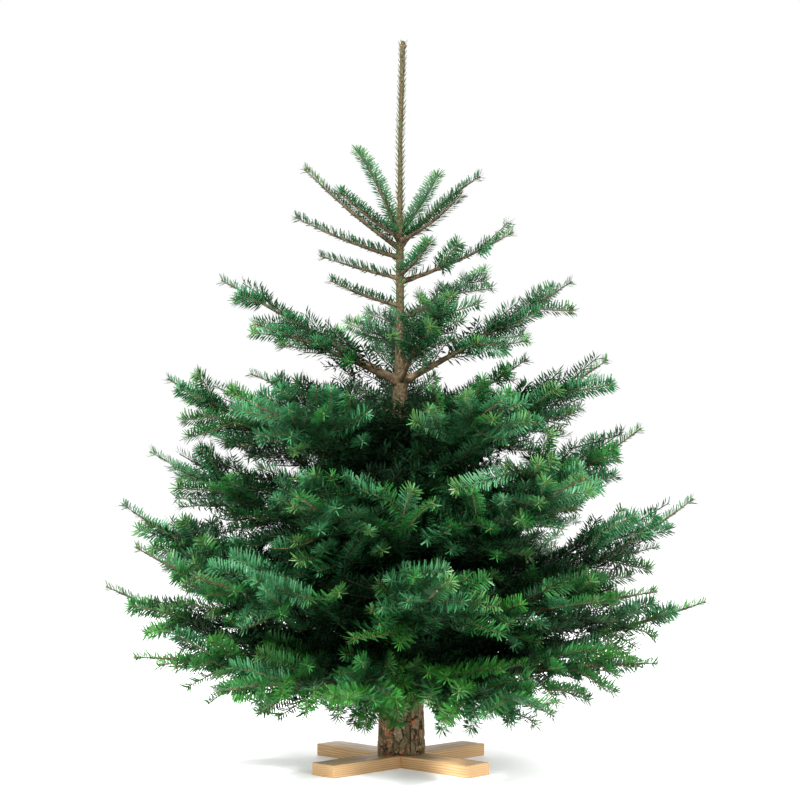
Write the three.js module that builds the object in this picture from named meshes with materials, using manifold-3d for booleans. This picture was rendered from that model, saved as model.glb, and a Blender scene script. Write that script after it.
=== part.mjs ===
// A cut fir tree, 1.75 m from its sawn foot to the tip of its leader, on a plain wooden cross.
// One trunk runs from the flat cut up to the tip. Boughs leave it in rings, one ring for each
// year of growth, and every bough ends in a flat, lobed mass of foliage. Short shoots between the
// rings, and the foliage of the three lowest rings, grow straight from the trunk.
//
// Millimetres, +Z up. The origin is the centre of the cross's underside. +X is the tree's right,
// +Y its back. Bearings are in degrees, anticlockwise seen from above, from +X.
import * as THREE from "three";
import { mergeVertices } from "three/addons/utils/BufferGeometryUtils.js";
import Module from "manifold-3d";

const wasm = await Module();
wasm.setup();

// ---- driving dimensions -------------------------------------------------------------------

const GAP = 0.4; // clearance wherever one piece is cut round another
const SEAT = 0.3; // clearance between faces that rest on each other

// the stand: two planed boards, half-lapped into a cross, and a wooden pin that holds the trunk
const BOARD = { length: 520, width: 76, thick: 30, bearing: 45 };
const PIN = { radius: 12.5, above: 55, sunk: 22, sides: 16 };
const BORE = { radius: PIN.radius + GAP, depth: PIN.above + 4 };
const FOOT = BOARD.thick + SEAT; // height of the sawn foot above the floor

// the trunk: its radius at each height above the sawn foot, slightly swollen at every ring of
// boughs, and then the thin leader up to its bud
const TREE_HEIGHT = 1750;
const TRUNK_SIDES = 10;
const TRUNK_RADII = [
  [0, 59], [120, 56], [190, 53], [245, 48.5], [312, 46], [390, 40], [475, 37.5], [540, 32.5],
  [680, 28], [730, 24], [860, 19], [899, 18.5], [935, 14], [1060, 10.5], [1274, 9.5], [1305, 6.6],
  [1500, 5.4], [1712, 4.6], [1732, 6.5], [1744, 4.5],
];
const TRUNK_LEAN_X = [[0, 0], [600, -1], [1274, -2], [1600, -1], [TREE_HEIGHT, 5]];
const TRUNK_LEAN_Y = [[0, 0], [700, 4], [1274, -2], [TREE_HEIGHT, 2]];
const TRUNK_EVENNESS = 0.025; // how far the section departs from a circle

// Each ring of boughs, and each set of shoots between two rings. height is above the sawn foot.
// bare is how far from the trunk's middle the foliage starts; 0 means that it starts at the trunk
// and that the limb has no solid of its own. wood is the bough's radius at the trunk. width is
// the length of the longest side lobe, thick the half thickness along the limb, lobes the number
// of lobes on each side. Each limb has its bearing, reach (from the trunk's middle to its tip,
// seen from above), rise (from the trunk to the tip) and slope (where it leaves the trunk);
// roll tips its foliage sideways, droop hangs the side lobes, fan lets them rise and hang by
// turns, and any of the ring's own values can be given again. Where keel is true the underside
// runs straight from each edge down to the middle; elsewhere it has shoulders like the top.
const RINGS = [
  {
    name: "ring1", height: 1256, bare: 0, width: 23, thick: 20, lobes: 0, keel: true,
    limbs: {
      left_upright: { bearing: 124, reach: 190, rise: 256, slope: 1.3, height: 1264 },
      left: { bearing: 178, reach: 232, rise: 198, slope: 0.78, height: 1230 },
      left_low: { bearing: 192, reach: 256, rise: 94, slope: 0.3, height: 1210 },
      front_left: { bearing: 233, reach: 236, rise: 92, slope: 0.34, height: 1258 },
      front_right: { bearing: 306, reach: 240, rise: 92, slope: 0.3, height: 1250 },
      right: { bearing: 6, reach: 194, rise: 190, slope: 0.78, height: 1250 },
      back_right: { bearing: 62, reach: 204, rise: 172, slope: 0.7, height: 1262 },
    },
  },
  {
    name: "shoots_high", height: 1130, bare: 0, width: 23, thick: 21, lobes: 0, keel: true,
    limbs: {
      left: { bearing: 184, reach: 192, rise: 56, slope: 0.3, height: 1158 },
      left_low: { bearing: 208, reach: 186, rise: 56, slope: 0.24, height: 1092 },
      front: { bearing: 290, reach: 200, rise: 66, slope: 0.3, width: 44, thick: 34, height: 1166 },
      right: { bearing: 352, reach: 274, rise: 116, slope: 0.32, lobes: 2, width: 70, height: 1152 },
      back: {
        bearing: 54, reach: 372, rise: 142, slope: 0.36, lobes: 3, width: 116, droop: 0.3, height: 1060,
      },
    },
  },
  {
    name: "ring2", height: 899, bare: 96, wood: 9, width: 160, thick: 44, lobes: 4, keel: true,
    limbs: {
      left: { bearing: 178, reach: 436, rise: 258, slope: 0.64, droop: 0.3, width: 140, bare: 124 },
      front_left: { bearing: 214, reach: 408, rise: 138, slope: 0.46, droop: 0.24, fan: 0.2 },
      front_right: { bearing: 290, reach: 340, rise: 196, slope: 0.7, bare: 90, droop: 0.1, width: 176 },
      right: { bearing: 4, reach: 420, rise: 254, slope: 0.6, droop: 0.1, fan: 0.4, width: 176 },
      back: { bearing: 92, reach: 372, rise: 214, slope: 0.6, width: 190, lobes: 3 },
    },
  },
  {
    name: "shoots_low", height: 792, bare: 0, width: 100, thick: 36, lobes: 3,
    limbs: {
      left: { bearing: 188, reach: 362, rise: 132, slope: 0.3, droop: -0.25, fan: 0.3 },
      right: { bearing: 346, reach: 312, rise: 166, slope: 0.4, fan: 0.3 },
    },
  },
  {
    name: "ring3", height: 672, bare: 100, wood: 11, width: 222, thick: 68, lobes: 4, keel: true,
    limbs: {
      left: { bearing: 175, reach: 575, rise: 244, slope: 0.28, roll: 10, fan: 0.24, droop: 0.2 },
      front_left: { bearing: 230, reach: 505, rise: 172, slope: 0.42, droop: -0.1 },
      front_right: { bearing: 297, reach: 498, rise: 182, slope: 0.42, droop: -0.1 },
      right: { bearing: 2, reach: 506, rise: 290, slope: 0.44, roll: -10, droop: 0.24, fan: 0.24 },
      back: { bearing: 92, reach: 520, rise: 240, slope: 0.4, width: 296, lobes: 3 },
    },
  },
  {
    name: "ring4", height: 472, bare: 0, width: 262, thick: 82, lobes: 4, keel: true,
    limbs: {
      left: { bearing: 181, reach: 608, rise: 262, slope: 0.36, roll: 16, fan: 0.3, droop: 0.12 },
      front_left: { bearing: 248, reach: 600, rise: 170, slope: 0.34, fan: 0.2, lobes: 3 },
      front_right: { bearing: 312, reach: 610, rise: 206, slope: 0.36, fan: 0.2 },
      right: { bearing: 358, reach: 584, rise: 318, slope: 0.44, roll: -18, fan: 0.34, droop: 0.16 },
      back: { bearing: 84, reach: 600, rise: 230, slope: 0.34, width: 322, lobes: 3 },
    },
  },
  {
    name: "ring5", height: 318, bare: 0, width: 250, thick: 80, lobes: 3, keel: true,
    limbs: {
      left: { bearing: 174, reach: 690, rise: 284, slope: 0.22, roll: 14, fan: 0.34, droop: 0.1 },
      left_low: { bearing: 197, reach: 650, rise: 190, slope: 0.16, fan: 0.2, width: 200 },
      front_left: { bearing: 226, reach: 652, rise: 140, slope: 0.2, fan: 0.2 },
      front: { bearing: 277, reach: 640, rise: 122, slope: 0.2, fan: 0.2 },
      right_low: { bearing: 334, reach: 655, rise: 96, slope: 0.12, fan: 0.2, width: 200 },
      right: { bearing: 356, reach: 708, rise: 300, slope: 0.2, roll: -14, fan: 0.36, droop: 0.16 },
      back_right: { bearing: 50, reach: 650, rise: 190, slope: 0.2, fan: 0.2 },
      back_left: { bearing: 118, reach: 650, rise: 190, slope: 0.2, fan: 0.2 },
    },
  },
  {
    name: "ring6", height: 196, bare: 0, width: 245, thick: 62, lobes: 3, keel: true,
    limbs: {
      left: { bearing: 180, reach: 716, rise: 208, slope: 0.14, roll: 16, droop: 0.24, fan: 0.24 },
      left_low: { bearing: 204, reach: 672, rise: 66, slope: 0.06, droop: 0.1, fan: 0.1, width: 200 },
      front_left: { bearing: 232, reach: 650, rise: 16, slope: 0.04, droop: 0.1, fan: 0.1 },
      front: { bearing: 259, reach: 600, rise: 8, slope: 0.06, droop: 0.1, fan: 0.1, width: 180 },
      front_right: { bearing: 298, reach: 640, rise: -18, slope: 0.02, droop: 0.1, fan: 0.1 },
      right_low: { bearing: 331, reach: 670, rise: 58, slope: 0.06, droop: 0.1, fan: 0.1, width: 200 },
      right: { bearing: 357, reach: 736, rise: 174, slope: 0.14, roll: -16, droop: 0.2, fan: 0.28 },
      back_right: { bearing: 66, reach: 640, rise: 40, slope: 0.04, droop: 0.12, fan: 0.15 },
      back_left: { bearing: 127, reach: 640, rise: 40, slope: 0.04, droop: 0.12, fan: 0.15 },
    },
  },
];

// the plan of a mass, in shares of its own length or width
const LOBE_ANGLE = [64, 34]; // degrees between limb and side lobe, at the inner end and at the tip
const LOBE_SPAN = [0.1, 0.88]; // where along the limb the first and the last lobe leave it
const WIDEST = 0.38; // where along the limb the lobes are longest
const LOBE_LENGTH = [0.16, 1, 0.34]; // at the inner end, where they are longest, and at the tip
const NOTCH = 0.62; // depth of the dip between two lobes
const UNEVEN = 0.16; // how much lobes differ from each other
const CREST = [1.35, 0.95]; // how far the top stands up over a lobe and over a dip, in half thicknesses
const UNDERSIDE = 1.15; // how far the underside hangs, in half thicknesses
const KEEL = 1.35; // the same where it runs straight to the edges
const SHOULDER = { out: 0.52, up: 0.72, down: 0.66 }; // half way out along a lobe
const SPINDLE = [[0, 0.45], [0.2, 0.85], [0.6, 1], [0.92, 0.7]]; // [place, width] of a plain shoot
const SPINDLE_ANGLE = 80; // degrees between a plain shoot and its sections
const BOUGH_SIDES = 6;
const BOUGH_RINGS = 4;
const BOUGH_END = 0.62; // radius where a bough enters its foliage, as a share of that at the trunk
const BOUGH_IN_FOLIAGE = 22; // how far a bough reaches into its foliage

// ---- materials ----------------------------------------------------------------------------

const bark = new THREE.MeshStandardMaterial({ color: 0x6a5c44, roughness: 0.95, metalness: 0 });
const twigBark = new THREE.MeshStandardMaterial({ color: 0x7a6648, roughness: 0.9, metalness: 0 });
const planedWood = new THREE.MeshStandardMaterial({ color: 0xcfa878, roughness: 0.7, metalness: 0 });
const needles = new THREE.MeshStandardMaterial({ color: 0x2f5a38, roughness: 0.6, metalness: 0 });

// ---- small helpers ------------------------------------------------------------------------

const radians = THREE.MathUtils.degToRad;
const mix = THREE.MathUtils.lerp;

// a repeatable number between -1 and 1, so that every mass has its own uneven shape
function wobble(seed, index) {
  const value = Math.sin(seed * 12.9898 + index * 78.233) * 43758.5453;
  return 2 * (value - Math.floor(value)) - 1;
}

// the value at x on a line through the [x, value] pairs, smoothed between them
function along(pairs, x) {
  const beyond = pairs.findIndex(([position]) => position > x);
  const next = beyond < 0 ? pairs.length - 1 : Math.max(1, beyond);
  const [x0, value0] = pairs[next - 1];
  const [x1, value1] = pairs[next];
  return mix(value0, value1, THREE.MathUtils.smoothstep(x, x0, x1));
}

// A closed skin over rings of points. Each ring runs anticlockwise about the way of travel, and
// both ends are closed onto a single point.
function loft(rings, start, end) {
  const sides = rings[0].length;
  const points = [start, ...rings.flat(), end];
  const last = points.length - 1;
  const index = [];
  for (let side = 0; side < sides; side += 1) {
    const next = (side + 1) % sides;
    index.push(0, 1 + next, 1 + side);
    for (let ring = 0; ring < rings.length - 1; ring += 1) {
      const here = 1 + ring * sides;
      const there = here + sides;
      index.push(here + side, here + next, there + next);
      index.push(here + side, there + next, there + side);
    }
    index.push(last, last - sides + side, last - sides + next);
  }
  const geometry = new THREE.BufferGeometry().setFromPoints(points);
  geometry.setIndex(index);
  return geometry;
}

function toSolid(geometry) {
  const bare = geometry.clone();
  bare.deleteAttribute("normal");
  bare.deleteAttribute("uv");
  const merged = mergeVertices(bare, 1e-4);
  return new wasm.Manifold(new wasm.Mesh({
    numProp: 3,
    vertProperties: new Float32Array(merged.attributes.position.array),
    triVerts: new Uint32Array(merged.index.array),
  }));
}

function toGeometry(solid) {
  const mesh = solid.getMesh();
  const geometry = new THREE.BufferGeometry();
  geometry.setAttribute("position", new THREE.BufferAttribute(mesh.vertProperties, 3));
  geometry.setIndex(new THREE.BufferAttribute(mesh.triVerts, 1));
  return geometry;
}

// The same skin, a little larger: each corner moves so that the faces that meet there all step
// outwards by the gap.
function grown(geometry, gap) {
  const larger = geometry.clone();
  const position = larger.attributes.position;
  const sums = Array.from({ length: position.count }, () => ({
    terms: new Float64Array(9),
    pull: new THREE.Vector3(),
  }));
  const triangle = new THREE.Triangle();
  const normal = new THREE.Vector3();
  for (let face = 0; face < geometry.index.count; face += 3) {
    const corners = [0, 1, 2].map((k) => geometry.index.getX(face + k));
    triangle.setFromAttributeAndIndices(geometry.attributes.position, ...corners);
    triangle.getNormal(normal);
    const n = normal.toArray();
    corners.map((corner) => sums[corner]).forEach(({ terms, pull }) => {
      terms.forEach((_, term) => {
        terms[term] += n[Math.floor(term / 3)] * n[term % 3];
      });
      pull.addScaledVector(normal, gap);
    });
  }
  sums.forEach(({ terms, pull }, vertex) => {
    const steadied = terms.map((term, k) => (k % 4 ? term : term + 0.03));
    const step = pull.applyMatrix3(new THREE.Matrix3().set(...steadied).invert());
    step.clampLength(0, 4 * gap);
    position.setXYZ(
      vertex,
      position.getX(vertex) + step.x,
      position.getY(vertex) + step.y,
      position.getZ(vertex) + step.z,
    );
  });
  return larger;
}

const group = new THREE.Group();

function addPiece(name, geometry, material) {
  const mesh = new THREE.Mesh(geometry, material);
  mesh.name = name;
  group.add(mesh);
}

// ---- trunk --------------------------------------------------------------------------------

// the middle of the trunk at a height above the sawn foot
function trunkMiddle(height) {
  return new THREE.Vector3(along(TRUNK_LEAN_X, height), along(TRUNK_LEAN_Y, height), FOOT + height);
}

function trunkRing(height, radius) {
  const middle = trunkMiddle(height);
  return Array.from({ length: TRUNK_SIDES }, (_, side) => {
    const turn = (2 * Math.PI * side) / TRUNK_SIDES;
    const r = radius * (1 + TRUNK_EVENNESS * Math.cos(3 * turn + height / 300));
    return new THREE.Vector3(middle.x + r * Math.cos(turn), middle.y + r * Math.sin(turn), middle.z);
  });
}

function trunkGeometry() {
  const rings = TRUNK_RADII.map(([height, radius]) => trunkRing(height, radius));
  return loft(rings, trunkMiddle(0), trunkMiddle(TREE_HEIGHT));
}

// the blind hole bored up into the sawn foot
function boreGeometry() {
  const under = 5;
  const bore = new THREE.CylinderGeometry(BORE.radius, BORE.radius, BORE.depth + under, PIN.sides);
  bore.rotateX(Math.PI / 2);
  bore.translate(0, 0, FOOT + (BORE.depth - under) / 2);
  return bore;
}

// ---- stand --------------------------------------------------------------------------------

// One board of the cross, lying along its bearing. The lap is cut from its top or its underside.
function boardGeometry(bearing, lapOnTop) {
  const half = BOARD.length / 2;
  const lap = BOARD.width / 2 + SEAT;
  const middle = BOARD.thick / 2 + (lapOnTop ? -SEAT : SEAT) / 2;
  const shape = new THREE.Shape();
  if (lapOnTop) {
    shape.moveTo(-half, 0).lineTo(half, 0).lineTo(half, BOARD.thick).lineTo(lap, BOARD.thick);
    shape.lineTo(lap, middle).lineTo(-lap, middle).lineTo(-lap, BOARD.thick);
    shape.lineTo(-half, BOARD.thick);
  } else {
    shape.moveTo(-half, 0).lineTo(-lap, 0).lineTo(-lap, middle).lineTo(lap, middle);
    shape.lineTo(lap, 0).lineTo(half, 0).lineTo(half, BOARD.thick).lineTo(-half, BOARD.thick);
  }
  const board = new THREE.ExtrudeGeometry(shape, { depth: BOARD.width, bevelEnabled: false });
  board.translate(0, 0, -BOARD.width / 2);
  board.rotateX(Math.PI / 2);
  board.rotateZ(radians(bearing));
  return board;
}

function pinGeometry(extra) {
  const length = PIN.above + PIN.sunk;
  const radius = PIN.radius + extra;
  const pin = new THREE.CylinderGeometry(radius, radius, length + 2 * extra, PIN.sides);
  pin.rotateX(Math.PI / 2);
  pin.translate(0, 0, BOARD.thick + PIN.above - length / 2);
  return pin;
}

// ---- limbs and foliage --------------------------------------------------------------------

// the line of a limb: where it runs at a distance r from the trunk's middle, seen from above
function limbLine(limb) {
  const root = trunkMiddle(limb.height);
  const turn = radians(limb.bearing);
  const out = new THREE.Vector3(Math.cos(turn), Math.sin(turn), 0);
  const sideways = new THREE.Vector3(-out.y, out.x, 0);
  const bend = (limb.rise - limb.slope * limb.reach) / limb.reach ** 2;
  const sweep = 0.03 * limb.reach * wobble(limb.seed, 1);
  return (r) => root.clone()
    .addScaledVector(out, r)
    .addScaledVector(sideways, sweep * Math.sin((Math.PI * r) / limb.reach))
    .add(new THREE.Vector3(0, 0, limb.slope * r + bend * r * r));
}

// the way of travel, the side and the upper side of a limb at a distance r
function limbFrame(line, r, roll) {
  const forward = line(r + 1).sub(line(r - 1)).normalize();
  const side = new THREE.Vector3(0, 0, 1).cross(forward).normalize();
  side.applyAxisAngle(forward, radians(roll));
  return { forward, side, upper: forward.clone().cross(side) };
}

function boughGeometry(limb) {
  const line = limbLine(limb);
  const end = limb.bare + BOUGH_IN_FOLIAGE;
  const rings = Array.from({ length: BOUGH_RINGS }, (_, ring) => {
    const share = ring / (BOUGH_RINGS - 1);
    const r = end * share;
    const radius = limb.wood * mix(1, BOUGH_END, share) + 0.28 * limb.wood * Math.exp(-7 * share);
    const { side, upper } = limbFrame(line, r, 0);
    return Array.from({ length: BOUGH_SIDES }, (_, k) => {
      const turn = (2 * Math.PI * k) / BOUGH_SIDES;
      return line(r)
        .addScaledVector(side, radius * Math.cos(turn))
        .addScaledVector(upper, radius * Math.sin(turn));
    });
  });
  return loft(rings, line(0), line(end));
}

// Where side lobes leave the limb, how long they are, and the dips between them, each as a share;
// lift says whether a pair of lobes rises (1), hangs (-1) or neither. A shoot without lobes is a
// plain spindle.
function lobePlan(limb) {
  if (!limb.lobes) {
    return SPINDLE.map(([at, length]) => ({ at, length, lift: 0 }));
  }
  const [first, last] = LOBE_SPAN;
  const step = (last - first) / limb.lobes;
  const [inner, longest, outer] = LOBE_LENGTH;
  const width = (at) => (at < WIDEST
    ? mix(inner, longest, at / WIDEST)
    : mix(longest, outer, (at - WIDEST) / (1 - WIDEST)));
  const plan = [{ at: 0, length: inner, lift: 0 }];
  for (let lobe = 0; lobe < limb.lobes; lobe += 1) {
    const at = first + step * lobe;
    const dip = at + 0.5 * step;
    plan.push({ at, length: width(at), lift: lobe % 2 ? 1 : -1 });
    plan.push({ at: dip, length: width(dip) * NOTCH, lift: 0 });
  }
  return plan;
}

// A flat, lobed mass along its limb: thick over the limb and running out to a thin, ragged edge.
// Each section goes round from one side lobe over the crest to the other, by way of a shoulder
// half way out on each side, and back underneath.
function foliageGeometry(limb) {
  const line = limbLine(limb);
  const from = limb.bare || 0.35 * along(TRUNK_RADII, limb.height);
  const sections = lobePlan(limb).map(({ at, length, lift }, rib) => {
    const r = mix(from, limb.reach, at);
    const { forward, side, upper } = limbFrame(line, r, limb.roll);
    const angle = radians(limb.lobes ? mix(...LOBE_ANGLE, at) : SPINDLE_ANGLE);
    const uneven = (index) => 1 + UNEVEN * wobble(limb.seed, index);
    const thick = limb.thick * (limb.lobes ? mix(1, 0.55, at) : length) * uneven(rib + 40);
    const crest = limb.lobes ? CREST[lift ? 0 : 1] : 1;
    // a point out along the lobe on one hand, then up or down from there
    const point = (hand, out, up) => {
      const width = limb.width * length * uneven(rib * 2 + hand) * out;
      const tilt = hand * lift * limb.fan - limb.droop;
      return line(r)
        .addScaledVector(forward, width * Math.cos(angle))
        .addScaledVector(side, hand * width * Math.sin(angle))
        .addScaledVector(upper, tilt * width * out + thick * up);
    };
    const top = [
      point(1, 1, 0), point(1, SHOULDER.out, SHOULDER.up), point(1, 0, crest),
      point(-1, SHOULDER.out, SHOULDER.up), point(-1, 1, 0),
    ];
    const underside = limb.keel ? [point(1, 0, -KEEL)] : [
      point(-1, SHOULDER.out, -SHOULDER.down), point(1, 0, -UNDERSIDE),
      point(1, SHOULDER.out, -SHOULDER.down),
    ];
    return [...top, ...underside];
  });
  const back = limbFrame(line, from, 0).forward.multiplyScalar(-0.3 * limb.thick);
  return loft(sections, line(from).add(back), line(limb.reach));
}

// ---- assembly -----------------------------------------------------------------------------

// What has been placed so far, each piece as the slightly larger solid that others are cut by.
const placed = [];

function overlaps(a, b) {
  const one = a.boundingBox();
  const two = b.boundingBox();
  return [0, 1, 2].every((axis) => one.min[axis] < two.max[axis] && two.min[axis] < one.max[axis]);
}

// Cuts a piece round everything placed before it, and keeps the largest body of what is left.
function fitAndPlace(name, geometry, material) {
  let solid = toSolid(geometry);
  for (const other of placed) {
    if (overlaps(solid, other)) {
      solid = solid.subtract(other);
    }
  }
  const bodies = solid.decompose().sort((a, b) => b.volume() - a.volume());
  addPiece(name, toGeometry(bodies[0]), material);
  placed.push(toSolid(grown(geometry, GAP)));
}

const trunk = trunkGeometry();
addPiece("trunk", toGeometry(toSolid(trunk).subtract(toSolid(boreGeometry()))), bark);
placed.push(toSolid(grown(trunk, GAP)));

const pinHole = toSolid(pinGeometry(SEAT));
const lower = toSolid(boardGeometry(BOARD.bearing, true));
const upper = toSolid(boardGeometry(BOARD.bearing + 90, false));
addPiece("stand_board_lower", toGeometry(lower.subtract(pinHole)), planedWood);
addPiece("stand_board_upper", toGeometry(upper.subtract(pinHole)), planedWood);
addPiece("stand_pin", pinGeometry(0), planedWood);

const limbs = RINGS.flatMap(({ name, limbs: members, ...ring }, row) => (
  Object.entries(members).map(([side, own], column) => (
    { roll: 0, droop: 0.04, fan: 0, ...ring, ...own, name: `${name}_${side}`, seed: 10 * row + column }
  ))
));
limbs.filter((limb) => limb.bare).forEach((limb) => {
  fitAndPlace(`bough_${limb.name}`, boughGeometry(limb), twigBark);
});
limbs.forEach((limb) => {
  fitAndPlace(`foliage_${limb.name}`, foliageGeometry(limb), needles);
});

export default group;
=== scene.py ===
# %% [markdown]
# # A cut fir tree on a wooden cross
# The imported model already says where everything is: a tapering trunk, the boughs that leave it,
# and one plain lobed solid for each spray of foliage. This lesson turns that into a tree. It
# reads each solid, grows a branching limb inside it, dresses every shoot with needles, and gives
# the trunk, the boughs and the stand the surface of bark and planed wood.
#
# All sizes are metres, in the frame of the model, with +Z up and the front of the tree at -Y.

import math

import bmesh
import bpy
import numpy as np
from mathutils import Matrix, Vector
from mathutils.bvhtree import BVHTree


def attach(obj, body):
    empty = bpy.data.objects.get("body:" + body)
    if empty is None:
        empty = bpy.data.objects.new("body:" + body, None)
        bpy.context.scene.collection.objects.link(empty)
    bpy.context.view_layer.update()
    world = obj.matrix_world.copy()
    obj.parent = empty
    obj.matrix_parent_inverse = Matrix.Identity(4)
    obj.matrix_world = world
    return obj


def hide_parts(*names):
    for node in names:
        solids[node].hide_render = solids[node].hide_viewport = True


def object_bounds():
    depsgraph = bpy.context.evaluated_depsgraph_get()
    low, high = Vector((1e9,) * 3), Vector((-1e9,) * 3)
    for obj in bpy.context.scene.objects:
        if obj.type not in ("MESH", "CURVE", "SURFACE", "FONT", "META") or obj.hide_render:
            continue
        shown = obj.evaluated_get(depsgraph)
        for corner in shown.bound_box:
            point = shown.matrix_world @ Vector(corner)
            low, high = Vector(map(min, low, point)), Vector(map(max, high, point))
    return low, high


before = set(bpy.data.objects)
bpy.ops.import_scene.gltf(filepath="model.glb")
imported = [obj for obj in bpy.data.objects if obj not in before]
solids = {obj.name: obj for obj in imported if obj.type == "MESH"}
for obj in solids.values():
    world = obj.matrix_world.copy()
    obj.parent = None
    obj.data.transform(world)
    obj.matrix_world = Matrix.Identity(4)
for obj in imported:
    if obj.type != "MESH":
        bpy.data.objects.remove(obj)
model_box = [list(corner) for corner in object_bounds()]
floor_z, tree_top = model_box[0][2], model_box[1][2]
print("model box", [[round(v, 3) for v in corner] for corner in model_box])

# %% [markdown]
# ## A bench for nodes
# Materials and Geometry Nodes are both trees of nodes, and a sum in them is written with Math
# nodes. Adding each one by hand hides the sum. A small class that wraps a socket and overloads
# the operators lets `1 - mask * 0.5` add its own nodes. Numbers go through Math, vectors through
# Vector Math and colours through Mix.

# %% Wires


class Wire:
    """An output socket that can be used in sums with numbers, tuples and other wires."""

    def __init__(self, bench, socket):
        self.bench = bench
        self.socket = socket
        self.is_vector = socket.type in {"VECTOR", "RGBA"}

    def __add__(self, other):
        return self.bench.sum("ADD", self, other)

    def __radd__(self, other):
        return self.bench.sum("ADD", other, self)

    def __sub__(self, other):
        return self.bench.sum("SUBTRACT", self, other)

    def __rsub__(self, other):
        return self.bench.sum("SUBTRACT", other, self)

    def __mul__(self, other):
        return self.bench.sum("MULTIPLY", self, other)

    def __rmul__(self, other):
        return self.bench.sum("MULTIPLY", other, self)

    def __truediv__(self, other):
        return self.bench.sum("DIVIDE", self, other)

    def spread(self, low, high, to_low=0.0, to_high=1.0):
        """The range low to high laid smoothly over to_low to to_high, and held beyond it."""
        return self.bench.node(
            "ShaderNodeMapRange",
            {"interpolation_type": "SMOOTHSTEP"},
            {0: self, 1: low, 2: high, 3: to_low, 4: to_high},
        )

    def tint(self, first, second):
        """A colour: the first where the wire is 0, the second where it is 1."""
        return self.bench.node(
            "ShaderNodeMix",
            {"data_type": "RGBA"},
            {"Factor_Float": self, "A_Color": first, "B_Color": second},
            "Result_Color",
        )


# %% [markdown]
# ## The bench itself
# A bench belongs to one tree of nodes. Every node comes from its method `node`, and every sum
# from `sum`, which looks at its terms to see whether they are numbers or vectors.

# %% The bench


class Bench:
    """Adds nodes to one tree."""

    def __init__(self, tree):
        self.tree = tree

    def node(self, kind, settings=None, inputs=None, out=0):
        """Makes a node: its settings first, then its inputs, by index, identifier or name."""
        made = self.tree.nodes.new(kind)
        for key, value in (settings or {}).items():
            if key == "stops":
                ramp = made.color_ramp.elements
                while len(ramp) < len(value):
                    ramp.new(0.5)
                for stop, (place, colour) in zip(ramp, value):
                    stop.position, stop.color = place, colour
            else:
                setattr(made, key, value)
        for key, value in (inputs or {}).items():
            socket = self.find(made.inputs, key)
            if isinstance(value, Wire):
                self.tree.links.new(value.socket, socket)
            elif socket.type == "VECTOR" and isinstance(value, (int, float)):
                socket.default_value = (value, value, value)
            else:
                socket.default_value = value
        return Wire(self, self.find(made.outputs, out))

    def sum(self, operation, *terms, out=0):
        """One Math or Vector Math node, whichever the terms need."""
        vectors = [isinstance(t, tuple) or getattr(t, "is_vector", False) for t in terms]
        if not any(vectors):
            return self.node("ShaderNodeMath", {"operation": operation}, dict(enumerate(terms)))
        if operation == "MULTIPLY" and not all(vectors):
            values = {"Vector": terms[vectors.index(True)], "Scale": terms[vectors.index(False)]}
            return self.node("ShaderNodeVectorMath", {"operation": "SCALE"}, values)
        inputs = dict(enumerate(terms))
        return self.node("ShaderNodeVectorMath", {"operation": operation}, inputs, out)

    def dot(self, one, other):
        return self.sum("DOT_PRODUCT", one, other, out="Value")

    def square_on(self, vector, axis):
        """What is left of a vector, at unit length, without its share along a unit axis."""
        return self.sum("NORMALIZE", vector - axis * self.dot(vector, axis))

    def parts(self, vector):
        """The three numbers of a vector."""
        split = self.node("ShaderNodeSeparateXYZ", None, {0: vector}).socket.node
        return [Wire(self, socket) for socket in split.outputs]

    @staticmethod
    def find(sockets, key):
        if isinstance(key, int):
            return sockets[key]
        return next((s for s in sockets if s.identifier == key), None) or sockets[key]


# %% [markdown]
# ## Geometry Nodes from a script
# Needles, twigs and buds repeat thousands of times along lines, which is what Geometry Nodes is
# for. Each tree here has named inputs for its sizes and ends by turning its instances into real
# mesh with a material. The modifier's inputs are set by identifier, the result is read back as a
# plain mesh, and the modifier is taken off again.

# %% Trees with named inputs


class GeometryBench(Bench):
    """A Geometry Nodes tree, with an input for its geometry and others for its sizes."""

    def __init__(self, name, **sizes):
        super().__init__(bpy.data.node_groups.new(name, "GeometryNodeTree"))
        sockets = self.tree.interface
        sockets.new_socket("Geometry", in_out="INPUT", socket_type="NodeSocketGeometry")
        sockets.new_socket("Geometry", in_out="OUTPUT", socket_type="NodeSocketGeometry")
        sockets.new_socket("Material", in_out="INPUT", socket_type="NodeSocketMaterial")
        for label, value in sizes.items():
            kind = {bool: "Bool", int: "Int"}.get(type(value), "Float")
            made = sockets.new_socket(label, in_out="INPUT", socket_type=f"NodeSocket{kind}")
            made.default_value = value
        self.group_input = self.tree.nodes.new("NodeGroupInput")

    def given(self, label):
        return Wire(self, self.group_input.outputs[label])

    def attribute(self, name, kind="FLOAT"):
        settings = {"data_type": kind}
        return self.node("GeometryNodeInputNamedAttribute", settings, {"Name": name}, "Attribute")

    def chance(self, low, high, seed):
        values = {"Min_001": low, "Max_001": high, "Seed": seed}
        return self.node("FunctionNodeRandomValue", {"data_type": "FLOAT"}, values, "Value_001")

    def chance_vector(self, size, seed):
        values = {"Min": (-size,) * 3, "Max": (size,) * 3, "Seed": seed}
        return self.node("FunctionNodeRandomValue", {"data_type": "FLOAT_VECTOR"}, values, "Value")

    def smooth(self, geometry):
        values = {"Geometry": geometry, "Shade Smooth": True}
        return self.node("GeometryNodeSetShadeSmooth", None, values)

    def close(self, geometry):
        """Ends the tree: instances become mesh, and the mesh takes its material."""
        real = self.node("GeometryNodeRealizeInstances", None, {"Geometry": geometry})
        values = {"Geometry": real, "Material": self.given("Material")}
        dressed = self.node("GeometryNodeSetMaterial", None, values)
        self.tree.links.new(dressed.socket, self.tree.nodes.new("NodeGroupOutput").inputs[0])


def put_in_scene(name, data):
    made = bpy.data.objects.new(name, data)
    bpy.context.scene.collection.objects.link(made)
    return made


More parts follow.
